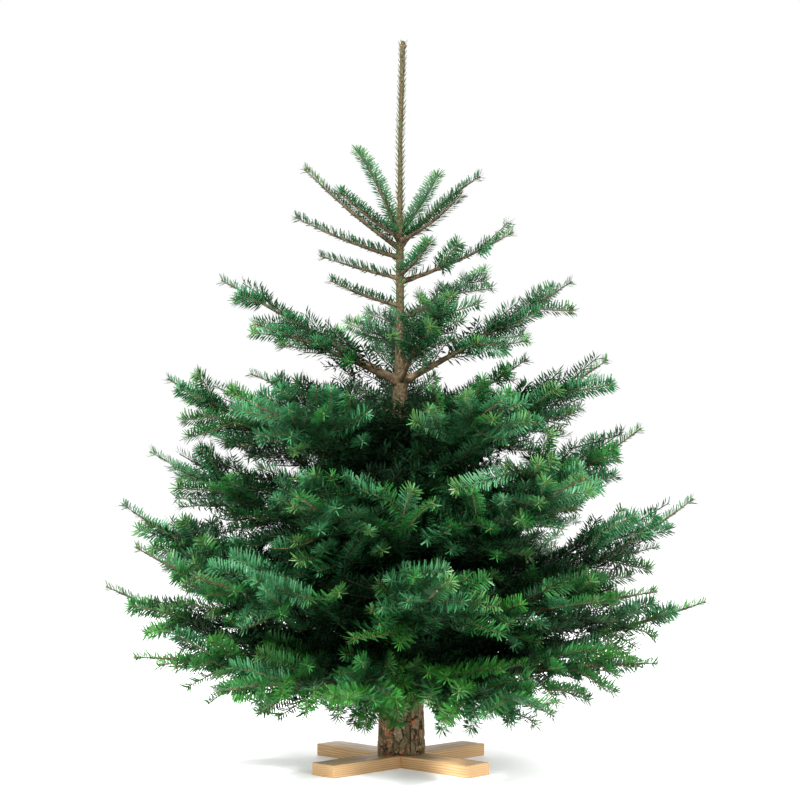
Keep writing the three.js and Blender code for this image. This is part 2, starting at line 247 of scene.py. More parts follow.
def run_tree(bench, name, mesh, material, **sizes):
    """Runs a tree on a mesh and keeps the result as a plain mesh."""
    piece = put_in_scene(name, mesh)
    modifier = piece.modifiers.new("growth", "NODES")
    modifier.node_group = bench.tree
    chosen = {"Material": material, **sizes}
    for socket in bench.tree.interface.items_tree:
        if socket.in_out == "INPUT" and socket.name in chosen:
            modifier[socket.identifier] = chosen[socket.name]
    evaluated = piece.evaluated_get(bpy.context.evaluated_depsgraph_get())
    made = bpy.data.meshes.new_from_object(evaluated)
    piece.modifiers.clear()
    piece.data = made
    made.name = name
    print(f"{name}: {sum(len(p.vertices) - 2 for p in made.polygons):,} triangles")
    return piece


# %% [markdown]
# ## Camera, floor and light
# A whole tree is looked at from some way off, so the camera stands over five metres in front,
# near the middle of its height, and a long lens keeps near and far boughs alike in size. The
# floor and the world are near white. One large soft lamp on the left models the sprays, a weaker
# one fills the right, and a third, behind, is for whoever walks round the tree.

# %% Camera, floor and light
lens_mm = 97.3
eye = Vector((0.0, -5.3, 0.81))
picture_middle = Vector((-0.002, 0.0, floor_z + 0.8925))
lamp_target = Vector((0.0, 0.0, 0.8))
camera = put_in_scene("camera", bpy.data.cameras.new("camera"))
camera.data.lens = lens_mm
camera.location = eye
camera.rotation_euler = (picture_middle - camera.location).to_track_quat("-Z", "Y").to_euler()
bpy.context.scene.camera = camera


def soft_lamp(name, place, size, power):
    """A round lamp of some size in metres and power in watts, turned to the tree."""
    lamp = bpy.data.lights.new(name, "AREA")
    lamp.shape, lamp.size, lamp.energy = "DISK", size, power
    holder = put_in_scene(name, lamp)
    holder.location = place
    aim = lamp_target - holder.location
    holder.rotation_euler = aim.to_track_quat("-Z", "Y").to_euler()


soft_lamp("key_lamp", (-1.8, -3.7, 4.0), 1.3, 780.0)
soft_lamp("fill_lamp", (3.0, -3.4, 2.6), 2.2, 170.0)
soft_lamp("back_lamp", (-0.3, 3.6, 2.6), 2.4, 130.0)

studio = bpy.data.worlds.new("studio")
studio.use_nodes = True
studio.node_tree.nodes["Background"].inputs["Color"].default_value = (1.0, 1.0, 1.0, 1.0)
bpy.context.scene.world = studio
bpy.context.scene.view_settings.view_transform = "Standard"

half = 30.0  # of the floor's side
floor_mesh = bpy.data.meshes.new("floor")
corners = [(-half, -half), (half, -half), (half, half), (-half, half)]
floor_mesh.from_pydata([(x, y, floor_z) for x, y in corners], [], [(0, 1, 2, 3)])
floor = put_in_scene("floor", floor_mesh)
paper = bpy.data.materials.new("floor_paper")
paper.use_nodes = True
paper_shader = paper.node_tree.nodes["Principled BSDF"]
paper_shader.inputs["Base Color"].default_value = (0.9, 0.9, 0.9, 1.0)
paper_shader.inputs["Roughness"].default_value = 0.9
paper_shader.inputs["Emission Color"].default_value = (1.0, 1.0, 1.0, 1.0)
paper_shader.inputs["Emission Strength"].default_value = 0.22
floor_mesh.materials.append(paper)
print(f"camera {(picture_middle - eye).length:.2f} m away, with a {lens_mm} mm lens")

# %% [markdown]
# ## Finishes in plain colours
# Needles, twigs and buds are far too small for a pattern of their own. Each kind gets one plain
# colour, and the variety of the tree comes from dealing several kinds out spray by spray. The
# shade and deep needles and the bark of twigs in shade are darker copies of the lit colours:
# painted shade for the inside of the crown. The colours are written as they look on a screen and
# turned into the linear values that a shader wants.

# %% Plain finishes


def seen(red, green, blue):
    """A colour as it looks on a screen, 0 to 255, as linear red, green, blue and alpha."""
    parts = [value / 255.0 for value in (red, green, blue)]
    return (*((p / 12.92 if p <= 0.04045 else ((p + 0.055) / 1.055) ** 2.4) for p in parts), 1.0)


def finish(name, colour=None, roughness=0.5, gloss=0.5):
    """A material in one colour, or one whose colour is still to be linked."""
    material = bpy.data.materials.new(name)
    material.use_nodes = True
    shader = material.node_tree.nodes["Principled BSDF"]
    shader.inputs["Roughness"].default_value = roughness
    shader.inputs["Specular IOR Level"].default_value = gloss
    if colour:
        shader.inputs["Base Color"].default_value = seen(*colour)
    return material


needle_tints = {
    # shade and deep are darker copies of the needles' green for shoots inside the crown: painted
    # shade
    "shade": finish("needles_shade", (9, 34, 14), 0.6, 0.1),
    "deep": finish("needles_deep", (15, 56, 25), 0.5, 0.25),
    "blue": finish("needles_blue", (43, 99, 60), 0.45, 0.32),
    "green": finish("needles_green", (38, 97, 42), 0.45, 0.28),
    "fresh": finish("needles_fresh", (50, 111, 38), 0.45, 0.26),
    "pale": finish("needles_pale", (61, 113, 74), 0.45, 0.32),
    "tip": finish("needles_tip", (66, 109, 54), 0.45, 0.28),
    "high": finish("needles_high", (40, 82, 48), 0.45, 0.3),
    "leader": finish("needles_leader", (54, 64, 32), 0.5, 0.3),
}
twig_finish = finish("twig_bark", (78, 76, 44), 0.75, 0.2)
# a darker copy of the twig bark for shoots inside the crown: painted shade
painted_shade_twig_finish = finish("twig_bark_in_shade", (34, 34, 20), 0.8, 0.1)
bud_finish = finish("buds", (98, 78, 44), 0.6, 0.3)
painted_shade_tints = ("shade", "deep")  # those of shoots that light doesn't reach
print(f"{len(needle_tints)} tints of needles")

# %% [markdown]
# ## Reading the solids
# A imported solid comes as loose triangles. Joining them gives back its corners, and the corners
# give the direction outwards at each. One seeded generator of random numbers serves the whole
# tree, so every run grows the same one.

# %% Corners of the solids
chance = np.random.default_rng(20261)
foliage_nodes = sorted(name for name in solids if name.startswith("foliage_"))
bough_nodes = sorted(name for name in solids if name.startswith("bough_"))


def corners_of(name):
    """The corners of a solid and its triangles, with the loose triangles joined."""
    mesh = solids[name].data
    loose = np.empty(3 * len(mesh.vertices))
    mesh.vertices.foreach_get("co", loose)
    places, index = np.unique(np.round(loose.reshape(-1, 3), 5), axis=0, return_inverse=True)
    index = index.reshape(-1)
    return places, [[int(index[v]) for v in p.vertices] for p in mesh.polygons]


def corner_normals(places, triangles):
    """The outward direction at each corner."""
    a, b, c = (places[np.array(triangles)[:, k]] for k in range(3))
    normals = np.zeros_like(places)
    for k in range(3):
        np.add.at(normals, np.array(triangles)[:, k], np.cross(b - a, c - a))
    return normals / np.maximum(np.linalg.norm(normals, axis=1, keepdims=True), 1e-12)


print(f"{len(foliage_nodes)} solids of foliage, {len(bough_nodes)} bare boughs")

# %% [markdown]
# ## The room for growth
# Each foliage solid is used as the room in which one bough may grow. A BVH tree answers the one
# question growth keeps asking: from here, in this direction, how far is it to the skin? Rays
# that start just outside, where a solid was cut round the trunk, may first enter it.

# %% Rooms


class Room:
    """A closed solid that rays can be sent through, with some slack added above and below."""

    most_crossings = 8
    hair = 1e-5  # how far past a crossing the next ray starts

    def __init__(self, name, slack=0.0):
        self.places, triangles = corners_of(name)
        self.places[:, 2] += slack * np.sign(corner_normals(self.places, triangles)[:, 2])
        self.tree = BVHTree.FromPolygons([tuple(p) for p in self.places], triangles)

    def crossings(self, start, way, far=2.0):
        """How far along a ray the skin is crossed, each with whether the ray leaves there."""
        found, gone, here = [], 0.0, Vector(start)
        way = Vector(way)
        while gone < far and len(found) < self.most_crossings:
            hit, normal, _, distance = self.tree.ray_cast(here, way, far - gone)
            if hit is None:
                break
            gone += distance
            found.append((gone, normal.dot(way) > 0.0))
            here = hit + way * self.hair
            gone += self.hair
        return found

    def reach(self, start, way, gap=0.03):
        """How far a shoot can grow from here before it leaves the room."""
        found = self.crossings(start, way)
        if not found or (not found[0][1] and found[0][0] > gap):
            return 0.0
        return next((distance for distance, leaves in found if leaves), 0.0)

    def clear(self, place):
        """How far a place is from the nearest skin."""
        return self.tree.find_nearest(Vector(place))[3]

    def spots(self, step, margin):
        """Places scattered about a step apart, each at least a margin inside the skin."""
        low, high = self.places.min(axis=0), self.places.max(axis=0)
        counts = np.maximum(((high - low) / step).astype(int) + 1, 1)
        grid = np.stack(np.meshgrid(*[np.arange(n) for n in counts], indexing="ij"), -1)
        grid = low + (grid.reshape(-1, 3) + chance.uniform(0.1, 0.9, (grid[..., 0].size, 3))) * step
        kept = []
        for spot in grid:
            found = self.crossings(spot, (0.0, 0.0, 1.0))
            if found and found[0][1] and self.clear(spot) > margin:
                kept.append(spot)
        return np.array(kept).reshape(-1, 3)

    def middle(self, x, y, below=0.5):
        """The middle height and thickness of the room over a spot, or None outside it."""
        found = self.crossings((x, y, -below), (0.0, 0.0, 1.0), 3.0)
        spans = [(a[0], b[0]) for a, b in zip(found, found[1:]) if not a[1] and b[1]]
        if not spans:
            return None
        low, high = max(spans, key=lambda span: span[1] - span[0])
        return 0.5 * (low + high) - below, high - low


thickness = [np.ptp(Room(name).places[:, 2]) for name in foliage_nodes]
print(f"rooms are {min(thickness):.2f} to {max(thickness):.2f} m high")

# %% [markdown]
# ## The trunk's line
# The trunk is not quite straight: it sweeps a little and swells at each ring of boughs. Its
# solid has one ring of corners at each height that matters. Averaging each ring gives the line
# through the middle and the radius, which everything else grows from.

# %% The trunk's line
trunk_places, _ = corners_of("trunk")
up = np.array([0.0, 0.0, 1.0])


def unit(vector):
    return vector / max(np.linalg.norm(vector), 1e-9)


def trunk_rings(level=6e-4, fewest=7, share=0.8):
    """Height, middle and radius of each ring of corners, from the foot to the tip.

    Corners within a level belong to one ring. Those of the bored hole lie under a share of the
    radius and are left out, as is any ring of too few corners or well inside those above it."""
    rings = []
    for height in np.unique(np.round(trunk_places[:, 2], 3)):
        ring = trunk_places[np.abs(trunk_places[:, 2] - height) < level]
        middle = 0.5 * (ring[:, :2].min(axis=0) + ring[:, :2].max(axis=0))
        out = np.linalg.norm(ring[:, :2] - middle, axis=1)
        ring = ring[out >= share * out.max()]
        middle = ring[:, :2].mean(axis=0)
        radius = np.linalg.norm(ring[:, :2] - middle, axis=1).mean()
        if len(ring) >= fewest:
            rings.append((height, *middle, radius))
    widest_above = [max(r[3] for r in rings[k:]) for k in range(len(rings))]
    return np.array([r for r, widest in zip(rings, widest_above) if r[3] > share * widest])


rings = trunk_rings()
foot_z = rings[0, 0]


def trunk_at(z):
    """The trunk's middle and radius at a height."""
    x, y, radius = (np.interp(z, rings[:, 0], rings[:, k]) for k in (1, 2, 3))
    return np.array([x, y, z]), float(radius)


print(f"trunk: {len(rings)} rings, foot at {foot_z:.3f} m, radius {rings[0, 3]:.3f} m")

# %% [markdown]
# ## How a fir limb branches
# A fir adds one length a year. At each yearly joint the limb carries a pair of strong side
# limbs, with shorter ones between, and every side limb repeats the pattern. The rule below
# follows that: joints are counted back from the tip, side limbs leave at a wide angle near the
# trunk and a narrow one near the tip, and each grows until it reaches the skin of its room.

# %% Lines of limbs


def bent(start, way, length, towards, turn, count):
    """Points of a shoot that sets out one way and turns towards another as it grows."""
    points, here = [start], start
    for step in range(count):
        heading = unit(way + towards * turn * (step + 0.5) / count)
        here = here + heading * length / count
        points.append(here)
    return np.array(points)


def sweep_to(start, first, end, last, count):
    """Points of a shoot that leaves in one direction and arrives in another."""
    pull = 0.38 * np.linalg.norm(end - start)
    t = np.linspace(0.0, 1.0, count + 1)[:, None]
    near, far = start + first * pull, end - last * pull
    s = 1.0 - t
    return start * s**3 + near * 3.0 * t * s**2 + far * 3.0 * t**2 * s + end * t**3


def along(points, share):
    """The place and direction at a share of the length of a line of points."""
    place = share * (len(points) - 1)
    k = min(int(place), len(points) - 2)
    ahead = points[k + 1] - points[k]
    return points[k] + ahead * (place - k), unit(ahead)


def length_of(points):
    return float(np.linalg.norm(np.diff(points, axis=0), axis=1).sum())


def part(points, low, high, step=0.03):
    """The piece of a line of points between two shares of its length, in even steps."""
    count = max(4, int(length_of(points) * (high - low) / step))
    return np.array([along(points, share)[0] for share in np.linspace(low, high, count)])


curve = bent(np.zeros(3), np.array([1.0, 0.0, 0.0]), 0.2, up, 0.45, 6)
print(f"a shoot of 20 cm ends {100 * curve[-1, 2]:.1f} cm higher than it sets out")

# %% [markdown]
# ## How a shoot is dressed
# Growth only notes what it makes, in three lists: limbs, lengths that carry needles, and tips with
# their buds. A length in the light gets two raised combs of needles, a thin rank on top and a
# rank below in a darker tint, painted shade. One in the shade only has to be dark and full, in a
# tint that is painted shade.

# %% Dressing a shoot
wood = []  # limbs: points, radius along them, kind of wood, tint of its needles
shoots = []  # needle-bearing lengths: points, upper side, and how they are dressed
tips = []  # where buds sit: place, direction, size
twig_end = 0.0013  # radius of every limb at its tip

# size and broad scale a needle and its width; gap is from one needle to the next; low and high
# are the angles from the upper side that they stand between, in radians; lean is a share of the
# usual angle to the shoot; standoff is from the line to the bark; blunt closes them at the tip
usual_needle = dict(
    size=1.0, broad=1.0, gap=0.0029, low=0.85, high=1.5, lean=1.0, standoff=0.001, blunt=1.0
)


def dress(points, upper, tint, **needle):
    """Notes a length to be covered with needles, and what sets its needles apart."""
    shoots.append(dict(points=points, upper=upper, tint=tint, needle={**usual_needle, **needle}))


def feather(points, upper, tint, size=1.0, yellow_tips=0.3):
    """Dresses a shoot in the light: two combs, a rank on top, one below in painted shade, a
    rosette.
    """
    young = "tip" if chance.random() < yellow_tips else tint
    # the rank below is darker than the feather: painted shade under it
    under = "green" if tint == "fresh" else "deep"
    dress(part(points, 0.0, 0.8), upper, tint, size=size, blunt=0.0)
    dress(part(points, 0.8, 1.0), upper, young, size=size)
    dress(points, upper, tint, size=0.82 * size, gap=0.0045, low=0.0, high=0.8, lean=0.95)
    dress(points, upper, under, size=0.95 * size, broad=1.2, gap=0.0032, low=1.6, high=1.95)
    tip, ahead = points[-1], unit(points[-1] - points[-2])
    crown = np.array([tip + shift * ahead for shift in (-0.012, -0.005, 0.002)])
    dress(crown, upper, young, size=0.76, broad=0.95, gap=0.0008, low=0.0, high=3.1, lean=0.9)


def dress_deep(points, upper):
    """Dresses a shoot, or the older part of one, where little light comes, in painted shade."""
    dress(points, upper, "deep", broad=1.15, gap=0.0022, low=0.4, high=2.0)


def dress_shade(points, upper):
    """Dresses a shoot in the shade: needles all round, which only have to be dark, as painted
    shade, and full.
    """
    dress(points, upper, "shade", broad=1.5, gap=0.0024, low=0.3, high=2.6)


print("usual needles:", usual_needle)

# %% [markdown]
# ## Ways to grow and light to grow in
# A shoot looks for the direction with most room, and for light. Light is taken where other young
# shoots already stand: a new one in between them would fill the dark gaps that part one spray
# from the next.

# %% Ways and light


def side_way(forward, upper, hand, angle, lift):
    """A direction at an angle from forward, to one hand, tipped up or down by lift."""
    side = unit(np.cross(upper, forward)) * hand
    flat = forward * math.cos(angle) + side * math.sin(angle)
    return unit(flat * math.cos(lift) + upper * math.sin(lift))


def best_way(room, place, forward, upper, hand, angle, lifts):
    """Of several lifts, the direction with most room, and that room."""
    ways = [side_way(forward, upper, hand, angle, lift) for lift in lifts]
    rooms = [room.reach(place, way) for way in ways]
    best = int(np.argmax(rooms))
    return ways[best], rooms[best]


in_light = []  # places along the outer half of every shoot that light reaches
recent = 500  # only so many of the last of them can be near a new shoot
young_length = 0.17  # last year's growth, which is the part that stands in the light
light_gap = {"low": 0.034, "high": 0.024}  # between feathers on the lower and the upper boughs


def crowded(points):
    """Whether the outer half of a shoot lies among others that are in the light."""
    if not in_light:
        return False
    gap = light_gap["low" if points[0][2] < 0.55 * tree_top else "high"]
    way = points[len(points) // 2:, None, :] - np.concatenate(in_light[-recent:])[None, :, :]
    return bool((way**2).sum(axis=2).min() < gap**2)


def outward(place, rise):
    """The way to the light: away from the trunk and somewhat up."""
    middle, _ = trunk_at(place[2])
    return unit(unit((place - middle) * (1.0, 1.0, 0.0)) + rise * up)


print(f"feathers: the last {young_length:.2f} m of a shoot, {light_gap} m apart")

# %% [markdown]
# ## One spray
# A side limb and everything on it is one spray: it lies more or less in one plane and has one
# tint. The spray carries side shoots on both hands from its own yearly joints. They leave at
# about fifty degrees, turn towards the limb's own direction, and stop at the skin. Only last
# year's growth is dressed as a feather; what lies behind it is dark, in painted shade.

# %% Growing a spray


def limb_radius(length):
    """The radius of a side limb where it leaves, by its length."""
    return 0.0012 + 0.010 * length


def grow_shoot(points, upper, tint, outer=True):
    """Grows one shoot with its needles and bud, and says whether it grew.

    In a crowded place an outer shoot doesn't grow at all, and any other stays dark, in painted
    shade."""
    length = length_of(points)
    if tint not in painted_shade_tints and crowded(points):
        if outer:
            return False
        tint = "deep"
    kind = tint if tint in painted_shade_tints else "lit"
    wood.append((points, np.linspace(limb_radius(length), twig_end, len(points)), kind, tint))
    if kind != "lit":
        # dark shoots and the older part of lit ones take the dark tints: painted shade
        dress_painted_shade = dress_deep if tint == "deep" else dress_shade
        dress_painted_shade(points, unit(upper + chance.normal(0.0, 0.3, 3)))
        return True
    in_light.append(points[len(points) // 2:])
    lit = unit(0.55 * up + 0.7 * outward(points.mean(axis=0), 0.0) + chance.normal(0.0, 0.3, 3))
    ahead = unit(points[-1] - points[0])
    upper = unit(lit - ahead * (lit @ ahead) + 0.15 * upper)
    start = max(1.0 - young_length / length, 0.0)
    if start > 0.12:
        dress_deep(part(points, 0.04, start), upper)
        points = part(points, start, 1.0)
    feather(points, upper, tint, size=0.94 + 0.12 * chance.random())
    tips.append((points[-1], unit(points[-1] - points[-2]), 1.0))
    return True


def grow_spray(room, start, way, length, upper, tint, rise, rank=1):
    """A side limb with its needles, its own side shoots and its buds."""
    short = length < 0.12
    towards = outward(start + way * length, rise)
    points = bent(start, way, length, towards, 0.45, 4 if short else 6)
    # a spray that ends well inside the room takes the deep tint: painted shade
    inside = room.clear(points[-1]) > 0.035
    grew = grow_shoot(points, upper, "deep" if inside else tint, rank > 1)
    if rank >= 3 or short or not grew:
        return
    year = min(max(0.45 * length, 0.08), 0.14)
    left = year
    while left < 0.86 * length:
        place, forward = along(points, 1.0 - left / length)
        for hand in (1, -1):
            angle = math.radians(54.0 - 10.0 * (1.0 - left / length) + chance.normal(0.0, 4.0))
            lifts = np.radians(chance.normal(3.0, 10.0, 2))
            side, free = best_way(room, place, forward, upper, hand, angle, lifts)
            grown = min(0.03 + 0.62 * left, free + 0.006) * (0.9 + 0.2 * chance.random())
            if grown > 0.035:
                grow_spray(room, place, side, grown, upper, tint, rise, rank + 1)
        left += year * (0.85 + 0.3 * chance.random())


print(f"a side limb of 20 cm is {2000 * limb_radius(0.2):.1f} mm thick where it leaves")

# %% [markdown]
# ## Filling a room
# The yearly joints give a bough its pattern, but leave parts of a thick room empty. A real limb
# puts shoots where there is light and space. So spots are scattered through the room, and every
# spot that no shoot is near is reached for: from all places on the bough, the one is chosen from
# which a shoot can set out forwards at a natural angle and has the shortest way to go. Each new
# shoot can carry further ones in its turn.

# %% Filling a room


def perches(points, first, last, step=0.014):
    """Places along a limb that a side shoot may leave from, with the limb's direction there."""
    count = max(int(length_of(points) * (last - first) / step), 2)
    found = [along(points, share) for share in np.linspace(first, last, count)]
    return np.array([p for p, _ in found]), np.array([f for _, f in found])


def effort(spots, places, forwards):
    """For each spot, how hard it is to reach from each place: infinite where it can't be.

    A shoot leaves most easily at 16 to 50 degrees, not steeply, and is 5 to 20 cm long."""
    way = spots[:, None, :] - places[None, :, :]
    far = np.linalg.norm(way, axis=2)
    angle = np.degrees(np.arccos(np.clip((way * forwards).sum(axis=2) / (far + 1e-9), -1.0, 1.0)))
    steep = np.abs(way[:, :, 2]) / (far + 1e-9)
    wide, narrow = np.maximum(angle - 50.0, 0.0), np.maximum(16.0 - angle, 0.0)
    cost = far * (1.0 + 0.09 * wide + 0.03 * narrow)
    cost *= 1.0 + 3.0 * np.maximum(steep - 0.45, 0.0)
    cost[(far < 0.05) | (far > 0.2) | (angle > 78.0)] = np.inf
    return cost


def line_distance(spots, points):
    """How far each spot is from a line of points."""
    ahead = np.diff(points, axis=0)
    way = spots[:, None, :] - points[None, :-1, :]
    share = np.clip((way * ahead).sum(axis=2) / (ahead**2).sum(axis=1), 0.0, 1.0)
    return np.linalg.norm(way - ahead * share[..., None], axis=2).min(axis=1)


def fill_room(room, limbs, avoid, spots, leading, tint_at, near, beyond, last=0):
    """Grows shoots from limbs to the spots that none of the lines to avoid is near.

    A limb is its points and the shares of its length that shoots leave between. Each shoot goes
    somewhat beyond its spot. With last set, only that many points at the end of a line count."""
    if not len(spots):
        return
    places, forwards = (np.concatenate(rows) for rows in zip(*[perches(*limb) for limb in limbs]))
    free = np.ones(len(spots), bool)
    for points in avoid:
        free &= line_distance(spots, points[-last:]) > near
    spots = spots[free]
    cost = effort(spots, places, forwards)
    while len(spots):
        best = cost.argmin(axis=1)
        lowest = cost[np.arange(len(spots)), best]
        pick = int(lowest.argmin())
        if not np.isfinite(lowest[pick]):
            break
        start, forward, target = places[best[pick]], forwards[best[pick]], spots[pick]
        way = unit(target - start)
        out = unit(0.6 * leading(target) + 0.4 * way)
        end = target + out * (min(room.reach(target, out), 0.05) + beyond)
        points = sweep_to(start, unit(way + 0.3 * forward), end, out, 5)
        grew = grow_shoot(points, unit(up - way * (up @ way)), tint_at(target), last > 0)
        keep = np.ones(len(spots), bool)
        if grew:
            keep = line_distance(spots, points[-last:]) > near
        keep[pick] = False
        spots, cost = spots[keep], cost[keep]
        if grew and len(spots):
            new_places, new_forwards = perches(points, 0.3, 0.8)
            cost = np.concatenate([cost, effort(spots, new_places, new_forwards)], axis=1)
            places = np.concatenate([places, new_places])
            forwards = np.concatenate([forwards, new_forwards])


spine = np.linspace([0.0, 0.0, 0.0], [0.2, 0.0, 0.0], 5)
print(f"{len(perches(spine, 0.1, 0.88)[0])} places to leave from on a limb of 20 cm")

# %% [markdown]
# ## The line of a bough
# A bough runs from the middle of the trunk to the tip of its room, through the middle of the
# room's thickness. The tip is the corner furthest out that lies close to the room's own
# direction; the side lobes reach nearly as far. A bough's own solid, where it has one, fixes
# the line near the trunk.

# %% The line of a bough


def tip_of(room, axis):
    """The corner of a room that a bough ends at, seen from the trunk's middle."""
    heading = unit((room.places.mean(axis=0) - axis) * (1.0, 1.0, 0.0))
    offset = room.places - axis
    sideways = np.abs(offset @ np.cross(up, heading))
    return room.places[np.argmax(offset @ heading - 0.5 * sideways)]


def heights_along(name, room, axis, heading, tip, reach):
    """Heights that a bough should pass through: how far out, how high, and with what weight."""
    samples = [(reach, tip[2], 4.0)]
    for out in np.linspace(0.12, 0.95, 20) * reach:
        spot = axis + heading * out
        found = room.middle(spot[0], spot[1])
        if found and found[1] > 0.01:
            samples.append((out, found[0], 1.0))
    if name in bough_nodes:
        corners, _ = corners_of(name)
        outs = (corners - axis) @ heading
        for low, high in ((0.0, 0.34), (0.66, 1.0)):
            near = (outs >= np.quantile(outs, low)) & (outs <= np.quantile(outs, high))
            samples.append((outs[near].mean(), corners[near, 2].mean(), 12.0))
    return np.array(samples).T


def limb_line(name, room):
    """Points along a bough, from the middle of the trunk to its tip, and how far out it reaches.

    Its height is a parabola and its way over the ground a slight bow."""
    axis, _ = trunk_at(room.places.mean(axis=0)[2])
    tip = tip_of(room, axis)
    reach = float(np.linalg.norm((tip - axis)[:2]))
    heading = unit((tip - axis) * (1.0, 1.0, 0.0))
    out, height, weight = heights_along(name, room, axis, heading, tip, reach)
    rising = np.polyfit(out / reach, height, 2, w=weight)
    bow = 0.02 * reach * chance.normal()
    foot = np.array([axis[0], axis[1], 0.0])
    points = []
    for share in np.linspace(0.0, 1.0, 25):
        side = np.cross(up, heading) * bow * math.sin(math.pi * share)
        points.append(foot + heading * reach * share + side + up * np.polyval(rising, share))
    return np.array(points), reach


# %% [markdown]
# ## Tints by place
# A tree in one green looks like a toy. Needles inside it get the dark tints, painted shade; those
# half way up its outside are blue-green with a few pale ones, the top has a duller green, and the
# lowest fringe is a lighter, yellower green. Every spray draws its tint from odds that depend on
# where it stands, so that neighbours differ and the whole still hangs together.

# %% The tint of a spray


def spray_tint(place, share):
    """The name of a tint, drawn by height and by how far out the spray reaches, 0 to 1."""
    height = (place[2] - floor_z) / (tree_top - floor_z)
    outer = min(max((share - 0.25) / 0.5, 0.0), 1.0)
    if height > 0.66:
        weights = dict(blue=0.2, high=0.6, deep=0.35 * (1.0 - 0.3 * outer))
    else:
        middle = math.exp(-(((height - 0.42) / 0.16) ** 2))
        dull = min(max((height - 0.48) / 0.1, 0.0), 1.0)
        green = 0.3 + 0.4 * outer * (1.0 - 0.5 * middle)
        weights = dict(
            # deep, painted shade, is likelier the further in a spray stands
            deep=0.9 - 0.8 * outer,
            blue=0.3 + 0.8 * outer * middle,
            high=green * dull,
            green=green * (1.0 - dull),
            fresh=0.8 * outer * max(1.0 - height / 0.28, 0.0),
            pale=0.24 * outer * middle,
        )
    names = list(weights)
    odds = np.array([weights[n] for n in names])
    return names[int(chance.choice(len(names), p=odds / odds.sum()))]


# %% [markdown]
# ## Growing a bough
# The outer end of a bough and the young shoots on it stand in the light; older growth lies behind
# them. So each bough grows in three goes: its own limb with yearly pairs of sprays, then young
# shoots that reach for the empty places near the skin of its room, then shoots in dark tints,
# painted shade, that fill the inside. The young shoots lean out to both hands and up, and on the
# lowest boughs they hang.

# %% One bough
slender_reach = 0.26  # a bough that reaches less far than this is a single shoot
big_reach = 0.48  # one that reaches farther gets a room with more slack above and below
low_share, high_share = 0.24, 0.45  # heights of the lowest and the high boughs in the tree


class Bough:
    """One bough with its room, its own limb, and all that grows on it."""

    def __init__(self, name):
        bare_node = name.replace("foliage", "bough")
        self.points, self.reach = limb_line(bare_node, Room(name))
        self.room = Room(name, 0.018 if self.reach > big_reach else 0.006)
        self.length = length_of(self.points)
        _, self.trunk_radius = trunk_at(self.points[0][2])
        self.bare = self.trunk_radius + 0.012
        self.slender = self.reach < slender_reach
        self.long = self.reach >= 0.45 or bare_node in bough_nodes
        self.height = (self.points[-1][2] - floor_z) / (tree_top - floor_z)
        self.lowest = self.height < low_share
        self.rise = 0.35 if self.height > 0.3 else 0.1
        self.side = np.cross(up, unit((self.points[-1] - self.points[0]) * (1.0, 1.0, 0.0)))
        self.first_wood = len(wood)

    def lay(self):
        """The limb: thick and bare at the trunk, painted shade further out, a feather at its end.
        """
        points, length, joint = self.points, self.length, self.trunk_radius
        tint = spray_tint(points[-1], 1.0)
        thick = min(0.0125 * length + 0.0012, 0.85 * joint)
        shares = np.linspace(0.0, 1.0, len(points))
        flare = 0.5 * thick * np.exp(-(shares * length - joint) / (0.8 * joint))
        radii = thick * (1.0 - shares) ** 0.85 + twig_end
        wood.append((points, radii + np.minimum(flare, 0.5 * thick), "bough", tint))
        tips.append((points[-1], unit(points[-1] - points[-2]), 1.3))
        first = 0.3 if self.long else self.bare / length
        start = max(1.0 - 1.2 * young_length / length, first)
        if start > first + 0.1 and not self.slender:
            dress_deep(part(points, first, start), up)
        feather(part(points, first if self.slender else start, 1.0), up, tint, size=0.95)
        if self.slender:
            dress(part(points, first, 1.0), up, tint, size=0.85, gap=0.0040, low=0.0, high=1.0)

    def grow_sprays(self):
        """Pairs of sprays at the yearly joints, from the tip back to the bare wood."""
        year = min(max(0.23 * self.length, 0.09), 0.14)
        left = year
        while left < self.length - self.bare - 0.02:
            for hand in (1, -1):
                self.grow_side(left, hand)
            left += year * (0.85 + 0.3 * chance.random())

    def grow_side(self, left, hand):
        """One spray to one hand, with so much of the bough left beyond its joint.

        Where the room has no place for it, a high bough still gets one short shoot."""
        share = 1.0 - left / self.length
        place, forward = along(self.points, share)
        upper = np.cross(forward, unit(np.cross(up, forward)))
        angle = math.radians(60.0 - 18.0 * share + chance.normal(0.0, 5.0))
        lifts = np.radians(chance.normal(0.0, 13.0, 3))
        way, free = best_way(self.room, place, forward, upper, hand, angle, lifts)
        grown = min(0.05 + 0.8 * left, free + 0.010) * (0.96 + 0.1 * chance.random())
        if grown > 0.04:
            tint = spray_tint(place + way * grown, share + 0.5 * grown / self.reach)
            grow_spray(self.room, place, way, grown, upper, tint, self.rise)
        elif self.height > high_share:
            way = side_way(forward, upper, hand, angle, abs(chance.normal(0.3, 0.3)))
            line = bent(place, way, chance.uniform(0.07, 0.13), forward + 0.4 * up, 0.5, 4)
            grow_shoot(line, upper, spray_tint(line[-1], 0.5))
